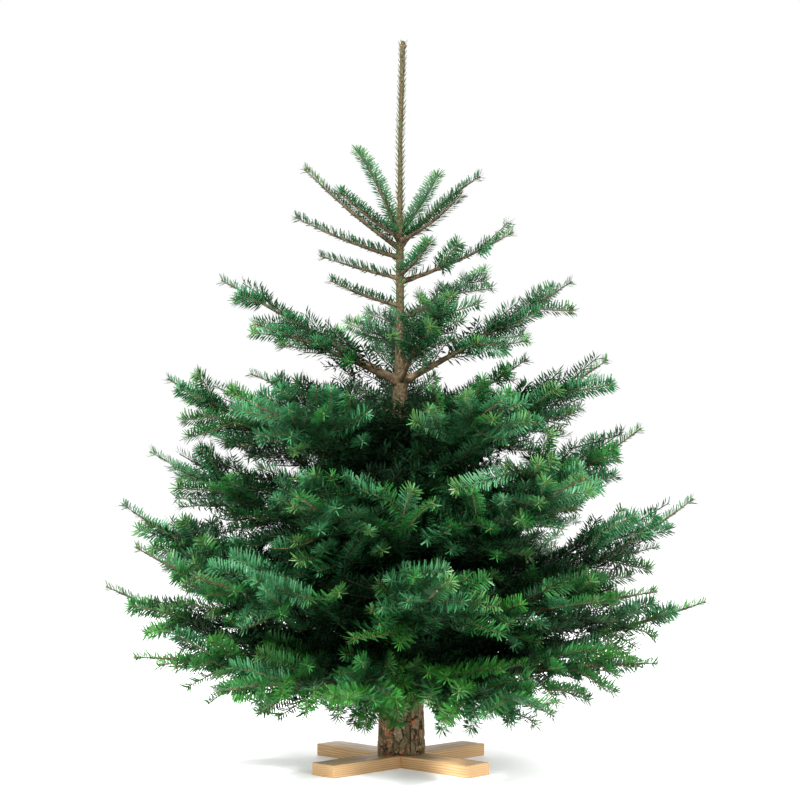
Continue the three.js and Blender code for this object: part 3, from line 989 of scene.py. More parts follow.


# %% [markdown]
# ## Filling a bough
# The second and third goes ask where a spot lies. A spot near the skin gets a young shoot with a
# tint drawn as for a spray, and one deep inside gets a shoot in a dark tint, painted shade. Both
# kinds lead away from the trunk, each to its own side of the bough.

# %% A bough that fills its room


class FullBough(Bough):
    """A bough that also sends shoots to the empty places of its room."""

    def limbs(self):
        """All that has grown, each with the shares of its length that shoots leave between."""
        own = (self.points, min(self.bare / self.length, 0.5), 0.9)
        return [own] + [(line, 0.1, 0.88) for line, *_ in wood[self.first_wood + 1:]]

    def depth_of(self, spot):
        """How deep a spot lies, seen from outside and, on the lowest boughs, from below."""
        sideways = self.room.reach(spot, outward(spot, 0.3))
        return min(sideways, self.room.reach(spot, -up)) if self.lowest else sideways

    def leading(self, spot):
        """Outwards, turned to the spot's own side of the bough, and up or hanging."""
        across = (spot - self.points[0]) @ self.side
        hand = np.sign(across + chance.normal(0.0, 0.06 * self.reach))
        turn = hand * chance.uniform(0.3, 1.2)
        lift = self.rise * chance.uniform(0.6, 2.8)
        if self.lowest:
            lift = chance.uniform(-1.3, -0.3 if self.room.reach(spot, -up) < 0.08 else 0.3)
        return unit(outward(spot, lift) + turn * self.side)

    def inner_tint(self, spot):
        """The shade tint near the trunk and the deep one further out, both painted shade."""
        return "shade" if np.linalg.norm(spot[:2]) < 0.62 * self.reach - 0.07 else "deep"

    def reach_for_light(self):
        """Young shoots to the empty places near the skin."""
        spots = self.room.spots(0.034, 0.009)
        depth = np.array([self.depth_of(spot) for spot in spots])
        lit = [line for line, _, _, tint in wood[self.first_wood:] if tint not in painted_shade_tints]
        fill_room(
            self.room, self.limbs(), lit, spots[depth < 0.07], self.leading,
            lambda spot: spray_tint(spot, 1.0),
            near=0.046, beyond=0.032 if self.lowest else 0.024, last=3,
        )

    def paint_shade_inside(self):
        """Dark-tinted shoots, painted shade, to the empty places inside, which stop short of the
        skin.
        """
        spots = self.room.spots(0.030, 0.012)
        depth = np.array([self.depth_of(spot) for spot in spots])
        every = [line for line, *_ in wood[self.first_wood:]]
        fill_room(
            self.room, self.limbs(), every, spots[depth >= (0.055 if self.lowest else 0.035)],
            self.leading, self.inner_tint, near=0.020, beyond=-0.015,
        )


# %% [markdown]
# ## All the boughs
# The boughs grow one after the other, in the order of their names. The single shoots of the top
# ring are too slender to carry sprays.

# %% Grow the boughs
for name in foliage_nodes:
    bough = FullBough(name)
    bough.lay()
    if not bough.slender:
        bough.grow_sprays()
        bough.reach_for_light()
        bough.paint_shade_inside()
print(f"{len(foliage_nodes)} boughs with {len(wood)} limbs")

# %% [markdown]
# ## Short shoots on the trunk
# Between its rings of boughs a fir carries many short shoots straight on the trunk. They live in
# the shade, so they take the dark tints, painted shade, stand close to each other, and hide the
# trunk inside the crown.

# %% Shoots on the trunk
trunk_shoots = 190
golden_turn = 2.39996  # radians from one shoot to the next, so that no two stand in line
crown_foot, crown_shoulder = foot_z + 0.18, foot_z + 0.8
for k in range(trunk_shoots):
    share = (k + chance.random()) / trunk_shoots
    middle, radius = trunk_at(crown_foot + (crown_shoulder - crown_foot) * share)
    bearing = golden_turn * k
    out = np.array([math.cos(bearing), math.sin(bearing), 0.0])
    way = unit(out + up * chance.uniform(0.0, 0.7))
    length = chance.uniform(0.15, 0.38) * (1.0 - 0.3 * share)
    points = bent(middle + out * 0.8 * radius, way, length, up, 0.3, 6)
    # dark tints for every shoot on the trunk: painted shade
    tint = "shade" if chance.random() < 0.7 else "deep"
    grow_shoot(points, unit(up - way * way[2]), tint)
    for left in np.arange(0.06, 0.8 * length, 0.075):
        place, forward = along(points, 1.0 - left / length)
        upper = unit(up - forward * forward[2])
        for hand in (1, -1):
            side = side_way(forward, upper, hand, 0.9, chance.normal(0.0, 0.3))
            run = (0.05 + 0.4 * left) * chance.uniform(0.8, 1.1)
            grow_shoot(bent(place, side, run, forward, 0.4, 4), upper, tint)
print(f"{trunk_shoots} short shoots on the trunk, and {len(wood)} limbs in all")

# %% [markdown]
# ## The leader
# The leader is last year's growth of the trunk itself: half a metre of straight shoot with short,
# thin needles that stand all round and lie close to the bark. At its tip sits a cluster of buds.

# %% The leader
for low, high, size, lean, gap, tint in (
    (1.29, 1.738, 0.5, 0.38, 0.0016, "leader"), (1.08, 1.29, 0.6, 0.6, 0.003, "green"),
):
    middles, radii = zip(*[trunk_at(foot_z + z) for z in np.linspace(low, high, 14)])
    dress(
        np.array(middles), np.array([0.0, -1.0, 0.0]), tint,
        size=size, gap=gap, low=0.0, high=math.pi, lean=lean, standoff=0.9 * np.mean(radii),
    )
leader_tip, _ = trunk_at(tree_top - 0.008)
tips.append((leader_tip - 0.004 * up, up, 1.5))
for k in range(6):
    turn = math.radians(60.0 * k)
    out = np.array([math.cos(turn), math.sin(turn), 0.0])
    tips.append((leader_tip - 0.012 * up + 0.004 * out, unit(up + 1.1 * out), 1.25))

total = sum(length_of(s["points"]) for s in shoots)
print(f"{total:.0f} m of ranks of needles, and {len(tips)} buds")

# %% [markdown]
# ## Lines for Geometry Nodes
# The trees take their lines as a mesh of edges. What belongs to a line, such as its radius or
# the size of its needles, travels with it as an attribute on its corners.

# %% Lines as a mesh


def lines_mesh(name, lines, **attributes):
    """A mesh of open lines with one value for each corner under each attribute's name."""
    places = np.concatenate(lines)
    counts = [len(line) for line in lines]
    starts = np.cumsum([0] + counts[:-1])
    steps = [np.arange(start, start + n - 1) for start, n in zip(starts, counts)]
    edges = np.concatenate([np.stack([step, step + 1], axis=1) for step in steps])
    mesh = bpy.data.meshes.new(name)
    mesh.from_pydata(places.tolist(), edges.tolist(), [])
    for label, values in attributes.items():
        values = np.concatenate(values)
        kind = "FLOAT_VECTOR" if values.ndim == 2 else "FLOAT"
        field = "vector" if values.ndim == 2 else "value"
        layer = mesh.attributes.new(label, kind, "POINT")
        layer.data.foreach_set(field, values.astype(np.float32).ravel())
    return mesh


# %% [markdown]
# ## The needles
# A fir needle is a flat strap, 25 to 30 mm long, with a narrow foot, a blunt tip and a slight
# curve towards the tip of its shoot. Four triangles hold that outline; where little light comes
# a kite of two will do. The tree walks along each line in even steps and stands one needle at
# each step, to the left and the right in turn, between a lowest and a highest angle from the
# shoot's upper side. Each needle is somewhat broader than life, so that fewer cover a shoot.

# %% The shape of a needle


def needle_pair(bench):
    """One needle for each hand, as two instances.

    Each is a strip of two quads along +X that curves towards the tip of its shoot, or a plain
    kite where the needles are in the shade."""
    strip = bench.node(
        "GeometryNodeMeshGrid", None,
        {"Size X": 1.0, "Size Y": 1.0, "Vertices X": 3, "Vertices Y": 2},
    )
    values = {"Vertices": 4, "Radius": 0.5}
    kite = bench.node("GeometryNodeMeshCircle", {"fill_type": "NGON"}, values)
    strip = bench.node(
        "GeometryNodeSwitch", {"input_type": "GEOMETRY"},
        {"Switch": bench.given("Plain"), "False": strip, "True": kite},
    )
    x, y = bench.parts(bench.node("GeometryNodeInputPosition"))[:2]
    run, sweep = x + 0.5, bench.given("Sweep")
    outline = 0.42 + run * 2.0 - run * run * 1.9
    pair = bench.tree.nodes.new("GeometryNodeJoinGeometry")
    for towards in (-1.0, 1.0):
        shaped = bench.node(
            "ShaderNodeCombineXYZ", None,
            {
                0: run * bench.given("Length"),
                1: y * outline * bench.given("Width") + run * run * (sweep * towards),
                2: run * run * bench.given("Bend"),
            },
        )
        moved = {"Geometry": strip, "Position": shaped}
        needle = bench.node("GeometryNodeSetPosition", None, moved)
        one = bench.node("GeometryNodeGeometryToInstance", None, {"Geometry": bench.smooth(needle)})
        bench.tree.links.new(one.socket, pair.inputs[0])
    return Wire(bench, pair.outputs[0])


# %% [markdown]
# ## Needles along a line
# A needle's place round its shoot is drawn by adding the same golden share of the range for each
# step, so that neighbours never stand alike. It leans forward, more so at the top of the shoot
# than at its sides, and still more towards the tip.

# %% The needle tree
golden_share = 0.381966


def needle_tree():
    bench = GeometryBench(
        "needles_along_lines", Length=0.0300, Width=0.0043, Bend=0.0020, Sweep=0.0035,
        Top=46.0, Side=64.0, Twist=0.35, Plain=False,
    )
    lines = bench.node("GeometryNodeMeshToCurve", None, {"Mesh": bench.given("Geometry")})
    points = bench.node(
        "GeometryNodeCurveToPoints", {"mode": "LENGTH"},
        {"Curve": lines, "Length": bench.attribute("gap")}, "Points",
    )
    tangent = Wire(bench, points.socket.node.outputs["Tangent"])
    upper = bench.square_on(bench.attribute("upper", "FLOAT_VECTOR"), tangent)
    sideways = bench.sum("CROSS_PRODUCT", tangent, upper)
    share = bench.attribute("share")
    tip = share.spread(0.4, 1.0) * bench.attribute("blunt")
    index = bench.node("GeometryNodeInputIndex")
    odd = bench.sum("MODULO", index, 2.0)
    hand = odd * 2.0 - 1.0
    draw = bench.sum("FRACT", index * golden_share + bench.chance(-0.06, 0.06, 1))
    low = bench.attribute("low")
    turn = hand * (low + draw * (bench.attribute("high") - low))
    sideness = bench.sum("ABSOLUTE", bench.sum("SINE", turn))
    lean = bench.given("Top") + (bench.given("Side") - bench.given("Top")) * sideness
    lean = (lean + bench.chance(-5.0, 5.0, 2)) * (1.0 - tip * 0.2) * bench.attribute("lean")
    lean = lean * math.radians(1.0)
    out = upper * bench.sum("COSINE", turn) + sideways * bench.sum("SINE", turn)
    way = tangent * bench.sum("COSINE", lean) + out * bench.sum("SINE", lean)
    twist = bench.chance_vector(1.0, 3) * bench.given("Twist")
    face = bench.square_on(upper + twist, way)
    rotation = bench.node(
        "FunctionNodeAxesToRotation", {"primary_axis": "X", "secondary_axis": "Z"},
        {"Primary Axis": way, "Secondary Axis": face},
    )
    size = bench.attribute("size") * bench.chance(0.86, 1.08, 5) * (1.0 - tip * 0.1)
    scale = bench.node(
        "ShaderNodeCombineXYZ", None, {0: size, 1: size * bench.attribute("broad"), 2: size}
    )
    on_bark = bench.node(
        "GeometryNodeSetPosition", None,
        {"Geometry": points, "Offset": out * bench.attribute("standoff")},
    )
    placed = bench.node(
        "GeometryNodeInstanceOnPoints", None,
        {
            "Points": on_bark, "Instance": needle_pair(bench), "Pick Instance": True,
            "Instance Index": odd, "Rotation": rotation, "Scale": scale,
        },
    )
    bench.close(placed)
    return bench


needles = needle_tree()


def needle_lines(name, mine):
    """The lines of some shoots, with the values of their needles."""
    lines = [s["points"] for s in mine]
    counts = [len(line) for line in lines]
    needle = {
        key: [np.full(n, float(s["needle"][key])) for s, n in zip(mine, counts)]
        for key in mine[0]["needle"]
    }
    share = [np.linspace(0.0, 1.0, n) for n in counts]
    upper = [np.tile(s["upper"], (n, 1)) for s, n in zip(mine, counts)]
    return lines_mesh(name, lines, share=share, upper=upper, **needle)


print(f"needle tree: {len(needles.tree.nodes)} nodes")

# %% [markdown]
# ## Needles in pieces
# The shoots of one tint are dealt into batches, so that no mesh becomes too large to work with.
# Each batch runs through the tree by itself and becomes one piece in one plain colour. The packed
# foliage solids, which were only the rooms for growth, are hidden at the end.

# %% Dress the shoots


def batches(mine, most):
    """Splits shoots into batches that each stay under a number of needles."""
    found, count = [[]], 0
    for shoot in mine:
        count += length_of(shoot["points"]) / shoot["needle"]["gap"] + 1
        if count > most:
            found.append([])
            count = 0
        found[-1].append(shoot)
    return found


most_plain, most_shaped = 90000, 46000  # needles in a batch, of two triangles and of four
for tint, material in needle_tints.items():
    mine = [s for s in shoots if s["tint"] == tint]
    plain = tint in painted_shade_tints
    for number, batch in enumerate(batches(mine, most_plain if plain else most_shaped), 1):
        if not batch:
            continue
        name = f"needles_{tint}_{number}"
        mesh = needle_lines(f"lines_{tint}_{number}", batch)
        piece = run_tree(needles, name, mesh, material, Plain=plain)
        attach(piece, "root")
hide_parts(*foliage_nodes)

# %% [markdown]
# ## Buds
# Every shoot of the year ends in a small brown bud, which shows as a light dot among the needles.
# A rounded cone with five sides is enough for one. Its points carry the direction of the shoot.

# %% Buds


def bud_tree():
    bench = GeometryBench("buds_on_tips", Length=0.0060, Width=0.0045)
    values = {"Segments": 5, "Rings": 3, "Radius": 0.5}
    ball = bench.node("GeometryNodeMeshUVSphere", None, values, "Mesh")
    x, y, z = bench.parts(bench.node("GeometryNodeInputPosition"))
    girth = bench.given("Width") * (1.0 - z * 0.5)
    shaped = bench.node(
        "ShaderNodeCombineXYZ", None,
        {0: x * girth, 1: y * girth, 2: (z + 0.4) * bench.given("Length")},
    )
    bud = bench.node("GeometryNodeSetPosition", None, {"Geometry": ball, "Position": shaped})
    smooth = bench.smooth(bud)
    way = bench.attribute("way", "FLOAT_VECTOR")
    rotation = bench.node(
        "FunctionNodeAxesToRotation", {"primary_axis": "Z", "secondary_axis": "X"},
        {"Primary Axis": way, "Secondary Axis": bench.chance_vector(1.0, 1)},
    )
    size = bench.attribute("size") * bench.chance(0.85, 1.15, 2)
    where = bench.given("Geometry")
    placed = bench.node(
        "GeometryNodeInstanceOnPoints", None,
        {"Points": where, "Instance": smooth, "Rotation": rotation, "Scale": size},
    )
    bench.close(placed)
    return bench


bud_points = bpy.data.meshes.new("bud_points")
bud_points.from_pydata([tuple(place) for place, _, _ in tips], [], [])
bud_points.attributes.new("way", "FLOAT_VECTOR", "POINT").data.foreach_set(
    "vector", np.array([way for _, way, _ in tips], np.float32).ravel()
)
bud_points.attributes.new("size", "FLOAT", "POINT").data.foreach_set(
    "value", np.array([size for _, _, size in tips], np.float32)
)
buds = run_tree(bud_tree(), "buds", bud_points, bud_finish)
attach(buds, "root")

# %% [markdown]
# ## Bark of the limbs
# A young bough has thin bark: olive brown, mottled, with fine cracks across it. The colour is a
# sum of two noises over Object coordinates, so it stays on the bark in every view. The bump only
# adds grain that is finer than the mesh.

# %% Bark of the limbs


def linked(material, colour, rough=None, bump=None, strength=0.5, depth=0.0005):
    """Ends a material: a colour, and if given a roughness and a height for the bump."""
    tree = material.node_tree
    shader = tree.nodes["Principled BSDF"]
    tree.links.new(colour.socket, shader.inputs["Base Color"])
    if rough is not None:
        tree.links.new(rough.socket, shader.inputs["Roughness"])
    if bump is not None:
        values = {"Strength": strength, "Distance": depth, "Height": bump}
        normal = Bench(tree).node("ShaderNodeBump", None, values, "Normal")
        tree.links.new(normal.socket, shader.inputs["Normal"])


def noise(bench, place, scale, detail=3.0):
    values = {"Vector": place, "Scale": scale, "Detail": detail}
    return bench.node("ShaderNodeTexNoise", None, values, "Fac")


bough_finish = finish("bough_bark", roughness=0.85, gloss=0.2)
bench = Bench(bough_finish.node_tree)
place = bench.node("ShaderNodeTexCoord", out="Object")
mottle = noise(bench, place, 60.0)
cracks = noise(bench, place, 420.0, 2.0)
colour = mottle.spread(0.35, 0.65).tint(seen(56, 46, 32), seen(98, 82, 58))
colour = cracks.spread(0.52, 0.62).tint(colour, seen(44, 36, 26))
linked(bough_finish, colour, bump=cracks, strength=0.6)
print(f"bark of the limbs: {len(bench.tree.nodes)} nodes")

# %% [markdown]
# ## Boughs and twigs
# Every limb is a round tube that tapers along its line, which is Curve to Mesh with the radius
# as its scale. The line is sampled again at even steps first, and a noise moves the skin in and
# out, so that a bough is knobbly where a plain tube would be smooth.

# %% The wood tree


def wood_tree():
    bench = GeometryBench("wood_along_lines", Sides=6, Step=0.02, Knobs=0.0)
    lines = bench.node("GeometryNodeMeshToCurve", None, {"Mesh": bench.given("Geometry")})
    lines = bench.node(
        "GeometryNodeResampleCurve", {"mode": "LENGTH"},
        {"Curve": lines, "Length": bench.given("Step")},
    )
    circle = bench.node(
        "GeometryNodeCurvePrimitiveCircle", {"mode": "RADIUS"},
        {"Resolution": bench.given("Sides"), "Radius": 1.0}, "Curve",
    )
    tube = bench.node(
        "GeometryNodeCurveToMesh", None,
        {
            "Curve": lines, "Profile Curve": circle, "Fill Caps": True,
            "Scale": bench.attribute("thickness"),
        },
    )
    lumps = noise(bench, bench.node("GeometryNodeInputPosition"), 90.0, 2.0) - 0.5
    push = bench.node("GeometryNodeInputNormal") * (lumps * bench.given("Knobs"))
    knobbly = bench.node("GeometryNodeSetPosition", None, {"Geometry": tube, "Offset": push})
    bench.close(bench.smooth(knobbly))
    return bench


tubes = wood_tree()
# kinds of limb, sides of the tube, step along it, depth of its knobs, finish
kinds_of_wood = {
    "boughs": (("bough",), 8, 0.010, 0.0045, bough_finish),
    "twigs": (("lit",), 3, 0.030, 0.0, twig_finish),
    "twigs_in_shade": (painted_shade_tints, 3, 0.040, 0.0, painted_shade_twig_finish),
}
for name, (kinds, sides, step, knobs, material) in kinds_of_wood.items():
    mine = [(line, radii) for line, radii, kind, _ in wood if kind in kinds]
    lines, thickness = zip(*mine)
    mesh = lines_mesh(f"lines_{name}", lines, thickness=thickness)
    piece = run_tree(tubes, name, mesh, material, Sides=sides, Step=step, Knobs=knobs)
    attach(piece, "root")
    if name == "boughs":
        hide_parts(*bough_nodes)

# %% [markdown]
# ## The skin of the trunk
# The skin is a fine grid laid round the trunk's line, a little out of round. The lowest one turns
# inwards below and leaves a hollow for the cut wood.

# %% The skin of the trunk


def trunk_skin(name, low, high, columns, row, hollow=0.0):
    """A closed grid round the trunk between two heights.

    With a hollow, the skin turns in at its foot and rises inside by that much."""
    rows = max(int((high - low) / row), 2)
    turns = 2.0 * math.pi * np.arange(columns) / columns
    ways = np.stack([np.cos(turns), np.sin(turns), np.zeros(columns)], axis=1)
    corners = []
    for z in np.linspace(low, high, rows):
        middle, radius = trunk_at(z)
        uneven = radius * (1.0 + 0.02 * np.cos(3.0 * turns + z / 0.3))
        corners.append(middle + ways * uneven[:, None])
    if hollow:
        middle, _ = trunk_at(low)
        inner = corners[0] * (0.9, 0.9, 1.0) + middle * (0.1, 0.1, 0.0)  # a tenth further in
        corners = [inner + hollow * up, inner, *corners]
        rows += 2
    corners = [tuple(c) for c in np.concatenate(corners)]
    faces = []
    for k in range(rows - 1):
        for j in range(columns):
            near, far = k * columns + j, k * columns + (j + 1) % columns
            faces.append((near, far, far + columns, near + columns))
    faces.append(tuple(range(columns))[::-1])
    faces.append(tuple(range((rows - 1) * columns, rows * columns)))
    mesh = bpy.data.meshes.new(name)
    mesh.from_pydata(corners, [], faces)
    return mesh


# %% [markdown]
# ## The relief of the bark
# Near the foot a fir's bark breaks into plates a centimetre or so across, with dark fissures
# between them; higher up it is smooth and only wrinkled. A Geometry Nodes tree sinks the fissures
# with a Voronoi pattern and lifts each plate by its own amount. It stores what it did on the mesh,
# so that the material can colour it.

# %% The relief tree


def bark_tree():
    bench = GeometryBench("bark_relief", Plate=0.013, Tall=2.1, Depth=0.003, Fissure=0.13)
    place = bench.node("GeometryNodeInputPosition")
    warp = bench.node(
        "ShaderNodeTexNoise", None, {"Vector": place, "Scale": 60.0, "Detail": 3.0}, "Color"
    )
    x, y, z = bench.parts(place + (warp - (0.5, 0.5, 0.5)) * 0.014)
    width, tall = bench.given("Plate"), bench.given("Tall")
    grid = bench.node(
        "ShaderNodeCombineXYZ", None,
        {0: x / width, 1: y / width, 2: z / (width * tall)},
    )

    def cells(feature, scale, out):
        values = {"Vector": grid, "Scale": scale, "Randomness": 1.0}
        return bench.node("ShaderNodeTexVoronoi", {"feature": feature}, values, out)

    level = bench.parts(cells("F1", 1.0, "Color"))[0]
    flake = bench.parts(cells("F1", 1.5, "Color"))[1]
    flake_edge = cells("DISTANCE_TO_EDGE", 1.5, "Distance")
    grown_over = noise(bench, place, 70.0, 2.0).spread(0.56, 0.72)
    plate = cells("DISTANCE_TO_EDGE", 1.0, "Distance").spread(0.01, bench.given("Fissure"))
    plate = plate + (1.0 - plate) * grown_over * 0.85
    grain = noise(bench, place, 300.0, 3.0) - 0.5
    height = plate * (0.5 + level * 0.4 + flake * 0.3) + grain * 0.5 - 1.0
    push = bench.node("GeometryNodeInputNormal") * (height * bench.given("Depth"))
    made = bench.given("Geometry")
    kept = (("plate", plate), ("level", level), ("flake", flake), ("flake_edge", flake_edge))
    for label, value in kept:
        made = bench.node(
            "GeometryNodeStoreNamedAttribute", {"data_type": "FLOAT", "domain": "POINT"},
            {"Geometry": made, "Name": label, "Value": value},
        )
    made = bench.node("GeometryNodeSetPosition", None, {"Geometry": made, "Offset": push})
    bench.close(bench.smooth(made))
    return bench


# %% [markdown]
# ## The colours of the bark
# The relief left its numbers on the mesh: how high a spot lies, which plate it is on and which
# flake. The material reads them, so that colour and shape agree: dark in the fissures,
# grey-brown on the plates, orange-red with a pale rim where a flake has come away. Further up
# the colour goes over into that of young bark.

# %% The colours of the bark
bark_finish = finish("trunk_bark", roughness=0.9, gloss=0.2)
bench = Bench(bark_finish.node_tree)
place = bench.node("ShaderNodeTexCoord", out="Object")
plate, level, flake, flake_edge = (
    bench.node("ShaderNodeAttribute", {"attribute_name": label}, None, "Fac")
    for label in ("plate", "level", "flake", "flake_edge")
)
mottle = noise(bench, place, 190.0, 4.0)
tone = bench.node(
    "ShaderNodeValToRGB",
    {
        "stops": [
            (0.15, seen(66, 55, 36)), (0.4, seen(102, 89, 63)),
            (0.6, seen(126, 112, 85)), (0.85, seen(154, 142, 117)),
        ]
    },
    {"Fac": level * 0.3 + flake * 0.25 + mottle * 0.9 - 0.22},
    "Color",
)
scaled_off = flake.spread(0.7, 0.74) * noise(bench, place, 40.0, 2.0).spread(0.42, 0.5)
rim = scaled_off * (1.0 - flake_edge.spread(0.03, 0.1))
fresh_bark = mottle.spread(0.3, 0.7).tint(seen(118, 66, 42), seen(168, 104, 70))
tone = (scaled_off * 0.85).tint(tone, fresh_bark)
tone = (rim * 0.7).tint(tone, seen(170, 154, 124))
height_share = bench.parts(place)[2].spread(foot_z + 0.35, foot_z + 0.8)
young = mottle.spread(0.35, 0.65).tint(seen(48, 41, 27), seen(80, 69, 47))
colour = height_share.tint(tone, young)
colour = plate.spread(0.0, 0.75).tint(seen(40, 31, 20), colour)
linked(bark_finish, colour, bump=noise(bench, place, 700.0, 2.0), strength=0.5, depth=0.0006)

# %% [markdown]
# ## Three lengths of bark
# The foot is seen from near and gets the finest grid and the deepest fissures. Between the boughs
# and along the leader the bark is smoother, so a coarser grid is enough. The foot's skin is
# hollow from below, which leaves room for the cut wood.

# %% Lay the bark on
bark = bark_tree()
# from, to, columns round, height of a row, width of a plate, depth of the relief, hollow below
zones = {
    "bark_foot": (foot_z, foot_z + 0.17, 180, 0.0017, 0.0165, 0.0042, 0.07),
    "bark_crown": (foot_z + 0.165, foot_z + 0.84, 72, 0.008, 0.012, 0.0018, 0.0),
    "bark_top": (foot_z + 0.83, tree_top - 0.006, 40, 0.0035, 0.006, 0.0007, 0.0),
}
for name, (low, high, columns, row, plate_width, depth, hollow) in zones.items():
    skin = trunk_skin(name, low, high, columns, row, hollow)
    piece = run_tree(bark, name, skin, bark_finish, Plate=plate_width, Depth=depth)
    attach(piece, "root")
    if name == "bark_foot":
        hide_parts("trunk")

# %% [markdown]
# ## Turning a profile
# What is round is drawn as half its outline and turned about an axis. The profile starts and ends
# on the axis, where one corner closes the solid, so the result has no open edge.

# %% Turned solids


def turned(name, profile, centre, sides):
    """A closed solid from a profile of [radius, height] that starts and ends on the axis."""
    turns = 2.0 * math.pi * np.arange(sides) / sides
    corners, faces = [], []
    for radius, height in profile[1:-1]:
        for turn in turns:
            x, y = radius * math.cos(turn), radius * math.sin(turn)
            corners.append((centre[0] + x, centre[1] + y, height))
    rows = len(profile) - 2
    for k in range(rows - 1):
        for j in range(sides):
            near, far = k * sides + j, k * sides + (j + 1) % sides
            faces.append((near, far, far + sides, near + sides))
    for row, (_, height) in ((0, profile[0]), (rows - 1, profile[-1])):
        corners.append((centre[0], centre[1], height))
        pole = len(corners) - 1
        for j in range(sides):
            pair = (row * sides + j, row * sides + (j + 1) % sides)
            faces.append((pole, *(pair[::-1] if row == 0 else pair)))
    mesh = bpy.data.meshes.new(name)
    mesh.from_pydata(corners, [], faces)
    return mesh


def outward_faces(mesh):
    """Turns every face of a closed mesh outwards."""
    work = bmesh.new()
    work.from_mesh(mesh)
    bmesh.ops.recalc_face_normals(work, faces=work.faces)
    work.to_mesh(mesh)
    work.free()


rod = turned("rod", [(0.0, 0.0), (1.0, 0.0), (1.0, 2.0), (0.0, 2.0)], (0.0, 0.0), 12)
print(f"a turned rod of twelve sides has {len(rod.polygons)} faces")
bpy.data.meshes.remove(rod)

# %% [markdown]
# ## The sawn foot
# Under the bark the trunk ends in a flat cut, with a hole bored up its middle for the pin of the
# stand. One profile turned about the trunk's axis gives the hole, the face with its saw marks,
# and the softened rim.

# %% The sawn foot
bore_radius, bore_depth = 0.0129, 0.059
foot_middle, foot_radius = trunk_at(foot_z)
face_edge, rim = 0.92 * foot_radius, 0.93 * foot_radius
bore_top = foot_z + bore_depth
profile = [(0.0, bore_top), (bore_radius, bore_top), (bore_radius, foot_z + 0.0009)]
for radius in np.linspace(bore_radius + 0.0006, face_edge, 30):
    saw_mark = 0.00012 * math.sin(radius * 2400.0)
    profile.append((radius, foot_z + 0.0003 + saw_mark))
profile += [(rim, foot_z + 0.0012), (rim, foot_z + 0.006), (0.0, foot_z + 0.066)]
foot_mesh = turned("sawn_foot", profile, foot_middle, 72)
outward_faces(foot_mesh)
sawn_foot = put_in_scene("sawn_foot", foot_mesh)
print(f"sawn foot: radius {foot_radius:.3f} m, bored {2 * bore_radius * 1000:.1f} mm across")

# %% [markdown]
# ## The rings of the cut
# The yearly rings are distance from the middle, bent by a noise, and the inner bark is a reddish
# line at the rim.

# %% The look of the cut
ring_rate = 1350.0  # radians of the wave of rings in each metre
sawn_finish = finish("sawn_wood", roughness=0.75, gloss=0.3)
bench = Bench(sawn_finish.node_tree)
place = bench.node("ShaderNodeTexCoord", out="Object")
x, y, _ = bench.parts(place)
out = bench.sum("SQRT", x * x + y * y)
bend = out + noise(bench, place, 22.0, 2.0) * 0.006
ring = bench.sum("SINE", bend * ring_rate)
colour = ring.spread(-0.2, 1.0).tint(seen(214, 182, 146), seen(196, 158, 118))
stain = noise(bench, place, 40.0, 3.0)
colour = stain.spread(0.5, 0.75).tint(colour, seen(224, 196, 166))
inner_bark = (out / foot_radius).spread(0.885, 0.91)
colour = inner_bark.tint(colour, seen(128, 72, 50))
linked(sawn_finish, colour, bump=noise(bench, place, 500.0, 2.0), strength=0.4, depth=0.0003)
foot_mesh.materials.append(sawn_finish)
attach(sawn_foot, "root")
print(f"rings {1000 * 2 * math.pi / ring_rate:.1f} mm wide")

# %% [markdown]
# ## The wooden cross
# Two planed boards are half-lapped across each other and hold a pin that stands in the bored hole.
# Their solids are already exact, so each is copied, its triangles are joined back into faces, and
# its edges are eased with a small bevel, as a plane or sandpaper would leave them.

# %% Boards with eased edges


def eased(name, node, width):
    """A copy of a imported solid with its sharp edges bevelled."""
    work = bmesh.new()
    work.from_mesh(solids[node].data)
    bmesh.ops.remove_doubles(work, verts=work.verts, dist=1e-5)
    bmesh.ops.dissolve_limit(
        work, angle_limit=math.radians(1.0), verts=work.verts, edges=work.edges
    )
    least = math.radians(40.0)
    sharp = [e for e in work.edges if e.is_manifold and e.calc_face_angle(0.0) > least]
    bmesh.ops.bevel(
        work, geom=sharp, offset=width, segments=2, profile=0.6, affect="EDGES",
        clamp_overlap=True,
    )
    bmesh.ops.recalc_face_normals(work, faces=work.faces)
    mesh = bpy.data.meshes.new(name)
    work.to_mesh(mesh)
    work.free()
    made = put_in_scene(name, mesh)
    print(f"{name}: {len(mesh.polygons)} faces")
    return made


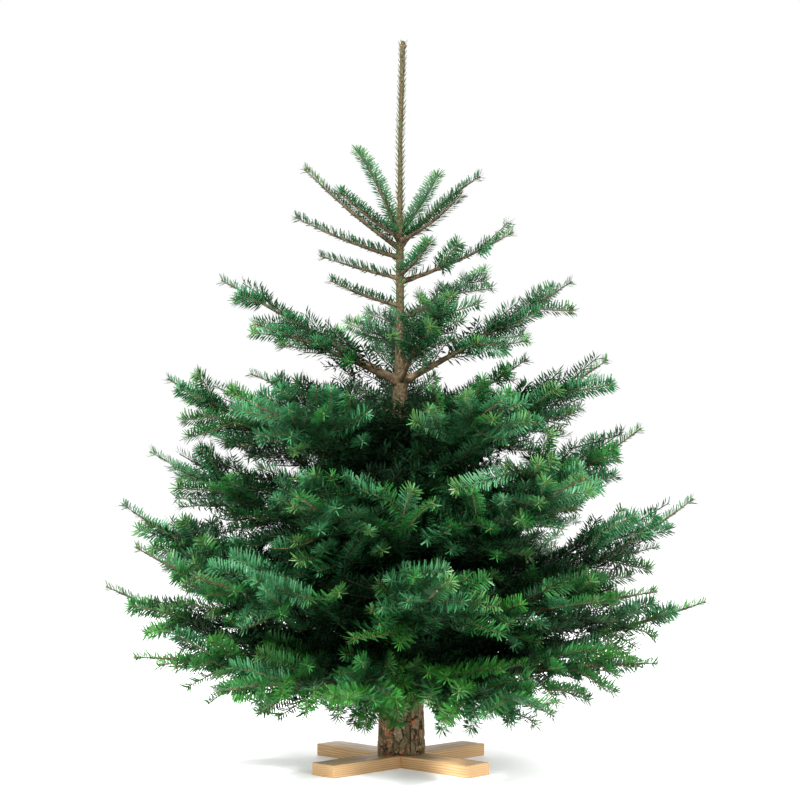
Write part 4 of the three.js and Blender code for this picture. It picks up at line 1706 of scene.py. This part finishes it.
# %% [markdown]
# ## The grain of the boards
# Grain is yearly rings cut lengthwise. Distance from a line that runs along the board, under it,
# gives rings; a noise stretched along the same line makes them waver, and a much finer one
# stands for the fibres. A Mapping node turns the pattern to each board's bearing.

# %% Planed wood
rings_per_metre = 210.0
heart_aside, heart_below = 0.012, 0.055  # where the middle of the rings runs, in metres


def wood_finish(name, bearing):
    """Planed softwood with its grain along a bearing in degrees."""
    material = finish(name, roughness=0.6, gloss=0.35)
    bench = Bench(material.node_tree)
    place = bench.node("ShaderNodeTexCoord", out="Object")
    turned_to = bench.node(
        "ShaderNodeMapping", {"vector_type": "TEXTURE"},
        {"Vector": place, "Rotation": (0.0, 0.0, math.radians(bearing))},
    )
    run, across, high = bench.parts(turned_to)
    long_noise = bench.node(
        "ShaderNodeCombineXYZ", None, {0: run * 3.0, 1: across * 22.0, 2: high * 22.0}
    )
    wave = noise(bench, long_noise, 1.0, 3.0)
    side = across + heart_aside
    depth = high + heart_below
    ring = bench.sum("SQRT", side * side + depth * depth) + wave * 0.016
    grain = bench.sum("FRACT", ring * rings_per_metre)
    fine = bench.node(
        "ShaderNodeCombineXYZ", None, {0: run * 14.0, 1: across * 900.0, 2: high * 900.0}
    )
    fibre = noise(bench, fine, 1.0, 2.0)
    colour = grain.spread(0.3, 1.0).tint(seen(214, 180, 134), seen(184, 138, 88))
    colour = (fibre.spread(0.4, 0.7) * 0.35).tint(colour, seen(164, 118, 74))
    rough = fibre.spread(0.3, 0.7, 0.5, 0.72)
    linked(material, colour, rough=rough, bump=fibre, strength=0.35, depth=0.0003)
    return material


for name, node, bearing in (
    ("cross_board_lower", "stand_board_lower", 45.0),
    ("cross_board_upper", "stand_board_upper", 135.0),
):
    board = eased(name, node, 0.0016)
    board.data.materials.append(wood_finish(f"planed_{name}", bearing))
    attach(board, "root")
    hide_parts(node)
pin = eased("cross_pin", "stand_pin", 0.0012)
pin.data.materials.append(wood_finish("turned_pin", 0.0))
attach(pin, "root")
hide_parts("stand_pin")
